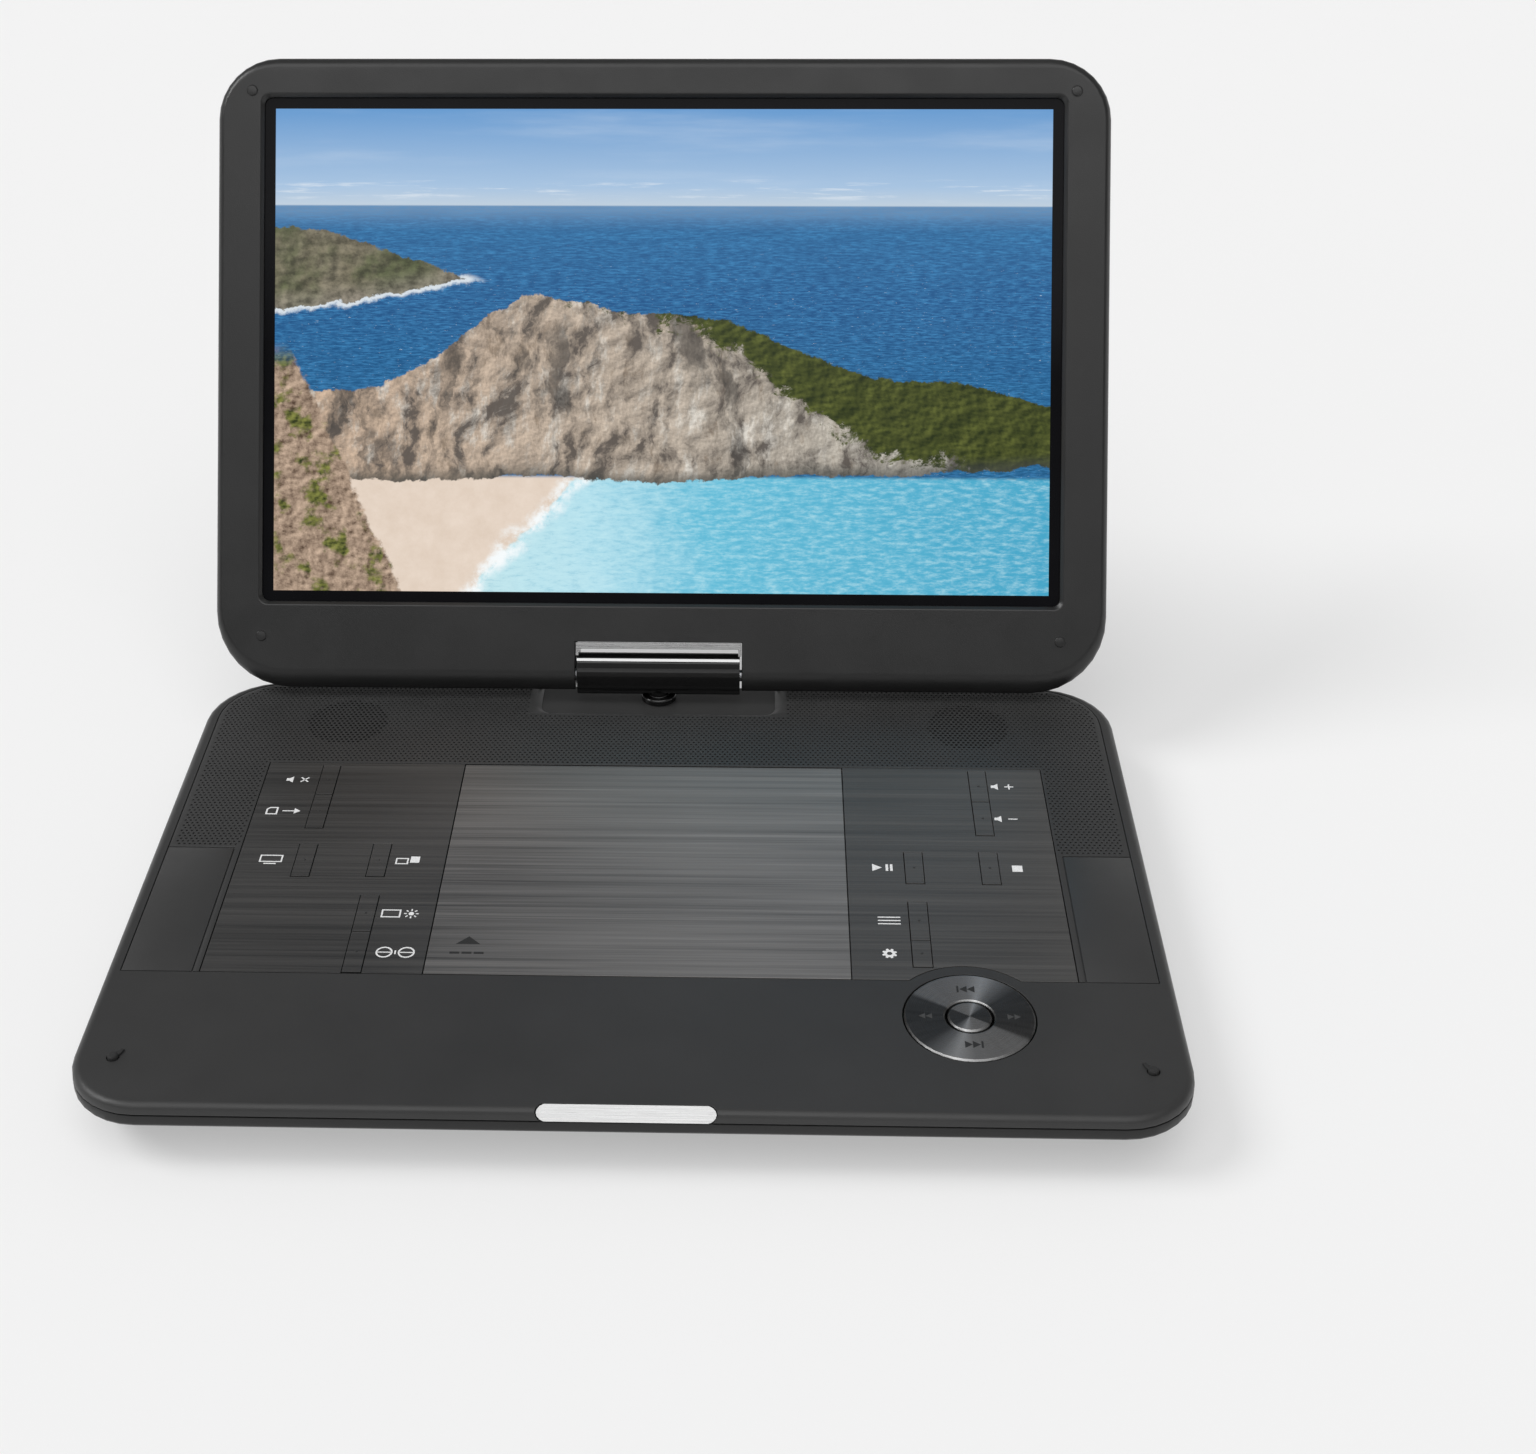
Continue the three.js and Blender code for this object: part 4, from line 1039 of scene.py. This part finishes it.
def draw_play(solid, z):
    solid.prism(triangle(-2.9, 0, 2.8, 1.7), z, z + PRINT)
    for x in (1.0, 2.3):
        solid.prism(rectangle(x, x + 0.75, -1.6, 1.6), z, z + PRINT)


def draw_menu(solid, z):
    for y in (-1.5, 0, 1.5):
        solid.prism(rectangle(-3.2, 3.2, y - LINE / 2, y + LINE / 2), z, z + PRINT)


def draw_setup(solid, z):
    teeth = 8
    outline = []
    for tooth in range(teeth):
        for part, radius in ((0.0, 1.5), (0.25, 2.1), (0.6, 2.1), (0.85, 1.5)):
            angle = 2 * math.pi * (tooth + part) / teeth
            outline.append((radius * math.cos(angle), radius * math.sin(angle)))
    around = [math.atan2(y, x) for x, y in outline]
    hole = [(0.75 * math.cos(angle), 0.75 * math.sin(angle)) for angle in around]
    solid.band(outline, hole, z, z + PRINT)


# Each key's sign, and how far its middle lies from the key's own middle.
SIGNS = {
    "key_mute": (draw_mute, -11.5),
    "key_source": (draw_source, -14.2),
    "key_screen": (draw_screen, -12.9),
    "key_mode": (draw_mode, 10.9),
    "key_display": (draw_display, 12.8),
    "key_language": (draw_language, 14.2),
    "key_volume_up": (draw_louder, 10.0),
    "key_volume_down": (draw_softer, 9.6),
    "key_stop": (draw_stop, 10.4),
    "key_play": (draw_play, -12.1),
    "key_menu": (draw_menu, -10.9),
    "key_setup": (draw_setup, -11.6),
}

PIP = [(0, -0.1), (0.55, -0.1), (0.5, 0.1), (0.3, 0.2), (0, 0.22)]  # the small bump on each key

for key, (draw, offset) in SIGNS.items():
    spot = middle(key)
    sign = Solid()
    draw(sign, PANEL_TOP)
    sign.grown(SIGN_SCALE).shift(spot.x + offset, spot.y)
    add_piece(key.replace("key_", "sign_"), sign.mesh(key + "_sign"), "white_print", "base")
    top = millimetres(key)[1].z
    pip = Solid().turned([(radius, top + height) for radius, height in PIP], spot.x, spot.y, 12)
    add_piece(key.replace("key_", "pip_"), pip.mesh(key + "_pip"), "key", key)

# ---------- direction ring signs ----------


def draw_skip(solid, x, y, forward, z):
    """Two triangles and a bar, for the next or the last chapter."""
    way = 1 if forward else -1
    for step in (-1, 0):
        solid.prism(triangle(x + way * step * 2.7, y, way * 2.6, 1.75), z, z + PRINT)
    bar = sorted((x + way * 2.9, x + way * 3.6))
    solid.prism(rectangle(*bar, y - 1.7, y + 1.7), z, z + PRINT)


def draw_wind(solid, x, y, forward, z):
    """Two triangles, for winding."""
    way = 1 if forward else -1
    for step in (-1, 0):
        solid.prism(triangle(x + way * step * 2.4, y, way * 2.3, 1.4), z, z + PRINT)


SKIP_REACH, WIND_REACH = 14.6, 15.4  # how far the signs lie from the ring's middle
ring_signs = Solid()
draw_skip(ring_signs, DPAD.x, DPAD.y + SKIP_REACH, False, RING_TOP)
draw_skip(ring_signs, DPAD.x, DPAD.y - SKIP_REACH, True, RING_TOP)
add_piece("ring_signs", ring_signs.mesh("ring_signs"), "dark_print", "dpad_ring")
side_signs = Solid()
draw_wind(side_signs, DPAD.x - WIND_REACH, DPAD.y, False, RING_TOP)
draw_wind(side_signs, DPAD.x + WIND_REACH, DPAD.y, True, RING_TOP)
add_piece("ring_side_signs", side_signs.mesh("ring_side_signs"), "grey_print", "dpad_ring")

# ---------- open sign on the disc lid ----------

lid_corner = millimetres("disc_lid")[0]
OPEN_SIGN = Vector((lid_corner.x + 15.6, lid_corner.y + 18.6))
open_sign = Solid()
open_sign.prism([(-4.4, -1.6), (4.4, -1.6), (0, 2.8)], PANEL_TOP, PANEL_TOP + PRINT)
for left, right in ((-6.2, -2.6), (-1.8, 1.8), (2.6, 6.2)):
    open_sign.prism(rectangle(left, right, -7.2, -6.1), PANEL_TOP, PANEL_TOP + PRINT)
open_sign.shift(*OPEN_SIGN)
add_piece("open_sign", open_sign.mesh("open_sign"), "dark_print", "disc_lid")

# ---------- caps on the screen's corners ----------

CAP_RADIUS = 2.15
CAP_SIDES = 28
bezel_low, bezel_high = screen_box("screen_bezel")
BEZEL_FACE = bezel_high.z
CAP_PLACES = [
    (side * reach, height)
    for side in (-1, 1)
    for reach, height in ((174.0, bezel_high.y - 14.6), (169.0, bezel_low.y + 21.8))
]
caps = Solid()
cap_grooves = Solid()
cap_profile = [
    (0, BEZEL_FACE - 0.3),
    (CAP_RADIUS, BEZEL_FACE - 0.3),
    (CAP_RADIUS, BEZEL_FACE + 0.12),
    (CAP_RADIUS - 0.25, BEZEL_FACE + 0.36),
    (CAP_RADIUS - 1.1, BEZEL_FACE + 0.46),
    (0, BEZEL_FACE + 0.48),
]
for x, y in CAP_PLACES:
    caps.turned(cap_profile, x, y, CAP_SIDES)
    rim, hole = (circle(radius, x, y, CAP_SIDES) for radius in (CAP_RADIUS + 0.3, CAP_RADIUS + 0.02))
    cap_grooves.band(rim, hole, BEZEL_FACE - 0.2, BEZEL_FACE + 0.03)
add_piece("screen_caps", caps.mesh("screen_caps", SCREEN), "screen_casing", "screen")
groove_mesh = cap_grooves.mesh("screen_cap_grooves", SCREEN)
add_piece("screen_cap_grooves", groove_mesh, "rubber", "screen")

# ---------- arms on the bumpers ----------

BUMPER_ARM = [(0.2, 1.2), (1.6, 0.2), (2.6, 1.6), (3.3, 3.6), (2.2, 3.9), (1.4, 2.7), (0.4, 2.1)]
for node in ("bumper_left", "bumper_right"):
    spot = middle(node)
    inward = 1 if spot.x < 0 else -1
    outline = [(spot.x + inward * x, spot.y + y) for x, y in BUMPER_ARM]
    if inward < 0:
        outline.reverse()
    arm = Solid().prism(outline, PANEL_TOP - 0.2, PANEL_TOP + 0.8)
    name = node.replace("bumper", "bumper_arm")
    soften(add_piece(name, arm.mesh(node + "_arm"), "rubber", "base"), 0.25)

# ---------- underside: screws in their counterbores and a blank label field ----------

UNDERSIDE = millimetres("bottom_case")[0].z
CASE_MIDDLE = middle("bottom_case")
SCREW_PLACES = [
    (side * x, CASE_MIDDLE.y + y) for side in (-1, 1) for x, y in ((172, 108), (60, 100), (40, -96))
]
COUNTERBORE = {"radius": 3.3, "depth": 1.5}
LABEL_FIELD = (-48, 48, CASE_MIDDLE.y - 30, CASE_MIDDLE.y + 22)


def detailed_underside():
    """The lower case with the screws' counterbores and a shallow empty field for a label."""
    tool = Solid()
    for x, y in SCREW_PLACES:
        bore = circle(COUNTERBORE["radius"], x, y, 28)
        tool.prism(bore, UNDERSIDE - 1, UNDERSIDE + COUNTERBORE["depth"])
    tool.prism(rectangle(*LABEL_FIELD), UNDERSIDE - 1, UNDERSIDE + 0.3)
    mesh = carved_node("bottom_case", EDGE_ROUNDING["lower_casing"], tool)
    piece = add_piece("bottom_case_bored", mesh, "lower_casing", "base")
    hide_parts("bottom_case")


def case_screws():
    """Low domed heads with a cross slot, each turned its own way."""
    head = [
        (0, UNDERSIDE + 0.45),
        (1.9, UNDERSIDE + 0.5),
        (2.6, UNDERSIDE + 0.9),
        (2.6, UNDERSIDE + 1.4),
        (0, UNDERSIDE + 1.4),
    ]
    heads, slots = Solid(), Solid()
    for turn, (x, y) in enumerate(SCREW_PLACES):
        heads.turned(head, x, y, 28)
        cross = []
        for quarter in range(4):
            angle = turn * 0.7 + quarter * math.pi / 2
            c, s = math.cos(angle), math.sin(angle)
            for along, across in ((0.3, -0.3), (1.35, -0.22), (1.35, 0.22)):
                cross.append((x + along * c - across * s, y + along * s + across * c))
        slots.prism(cross, UNDERSIDE, UNDERSIDE + 1.0)
    mesh = carved(temporary("heads", heads.mesh("screw_heads")), slots.mesh("screw_slots"))
    add_piece("case_screws", mesh, "steel", "base")


detailed_underside()
case_screws()

# ---------- drive: clamp claws, disc pad and lens ----------

hub = middle("turntable")
hub_top = millimetres("turntable")[1].z
CLAW_REACH = 6.7  # from the hub's middle to the middle of each claw
claws = Solid()
for third in range(3):
    angle = math.pi / 2 + third * 2 * math.pi / 3
    x, y = hub.x + CLAW_REACH * math.cos(angle), hub.y + CLAW_REACH * math.sin(angle)
    claws.prism(slanted(2.2, 2.4, x, y, angle), hub_top - 1.6, hub_top - 0.5)
claw_mesh = claws.mesh("clamp_claws")
soften(add_piece("clamp_claws", claw_mesh, "connector", "turntable"), 0.3)
pad = Solid()
pad_levels = (hub_top - 2.85, hub_top - 2.55)
pad.band(circle(13.6, hub.x, hub.y, 48), circle(10.2, hub.x, hub.y, 48), *pad_levels)
add_piece("disc_pad", pad.mesh("disc_pad"), "rubber", "turntable")

LENS_PLACE = (hub.x, hub.y - 24)
LENS = [(0, -0.3), (2.3, -0.3), (2.3, 0.05), (1.9, 0.22), (1.0, 0.36), (0, 0.4)]
lens_top = millimetres("laser_sled")[1].z
lens_profile = [(radius, lens_top + height) for radius, height in LENS]
lens = Solid().turned(lens_profile, *LENS_PLACE, 28)
add_piece("lens_glass", lens.mesh("lens_glass"), "lens", "laser_sled")

# ---------- sockets: contact rings and tongue contacts ----------

# Drawn along +Z, this stands along +X: (x, y, z) goes to (z, y, -x).
SIDEWAYS = BASE @ Matrix.Rotation(math.pi / 2, 4, "Y")
rings = Solid()
SOCKET_RINGS = (("earphone_jack", 2.55, 1.85), ("av_jack", 2.55, 1.85), ("dc_jack", 2.8, 1.95))
for node, outer, inner in SOCKET_RINGS:
    spot = middle(node)
    face = millimetres(node)[1].x
    rim, bore = (circle(radius, -spot.z, spot.y, 28) for radius in (outer, inner))
    rings.band(rim, bore, face - 0.2, face + 0.12)
add_piece("socket_rings", rings.mesh("socket_rings", SIDEWAYS), "gold", "base")
usb = middle("usb_port")
usb_face = millimetres("usb_port")[1].x
contacts = Solid()
for offset in (-3.5, -1.2, 1.2, 3.5):
    strip = rectangle(usb_face - 9, usb_face - 1.9, usb.y + offset - 0.5, usb.y + offset + 0.5)
    contacts.prism(strip, usb.z + 0.02, usb.z + 0.2)
add_piece("usb_contacts", contacts.mesh("usb_contacts"), "gold", "base")

# ---------- stage ----------

FLOOR_REACH = 5.0
COVE_RADIUS = 1.6  # the floor's far edge curves up this high, so that no horizon shows
FLOOR_GLOW = 0.4  # the floor is lit from below too, which keeps the shadows pale


def make_floor():
    """A round floor that turns up into a low wall far away."""
    sides, steps = 96, 12
    rings = [(FLOOR_REACH, 0.0)]
    for step in range(1, steps + 1):
        angle = math.pi / 2 * step / steps
        across, up = COVE_RADIUS * math.sin(angle), COVE_RADIUS * (1 - math.cos(angle))
        rings.append((FLOOR_REACH + across, up))
    points = [(x, y, height) for radius, height in rings for x, y in circle(radius, sides=sides)]
    faces = [tuple(range(sides))]
    for level in range(steps):
        for i in range(sides):
            j = (i + 1) % sides
            low, high = level * sides, (level + 1) * sides
            faces.append((low + i, high + i, high + j, low + j))
    mesh = bpy.data.meshes.new("floor")
    mesh.from_pydata(points, [], faces)
    floor = bpy.data.objects.new("floor", mesh)
    bpy.context.scene.collection.objects.link(floor)
    material, tree, shader = start_material("floor")
    tone = noise(place_in(tree), 3, detail=2)
    finish_material(
        material,
        shader,
        Base_Color=mix(tone, grey(0.475), grey(0.485)),
        Roughness=0.9,
        Specular_IOR_Level=0.1,
        Emission_Color=(1.0, 1.0, 1.0),
        Emission_Strength=FLOOR_GLOW,
    )
    mesh.materials.append(material)


bpy.context.scene.view_settings.view_transform = "Standard"
make_camera()
make_floor()
make_world(0.3)
make_sun("front", azimuth=0, elevation=66, angle=60, strength=1.3)
make_sun("key", azimuth=-90, elevation=46, angle=26, strength=1.4)
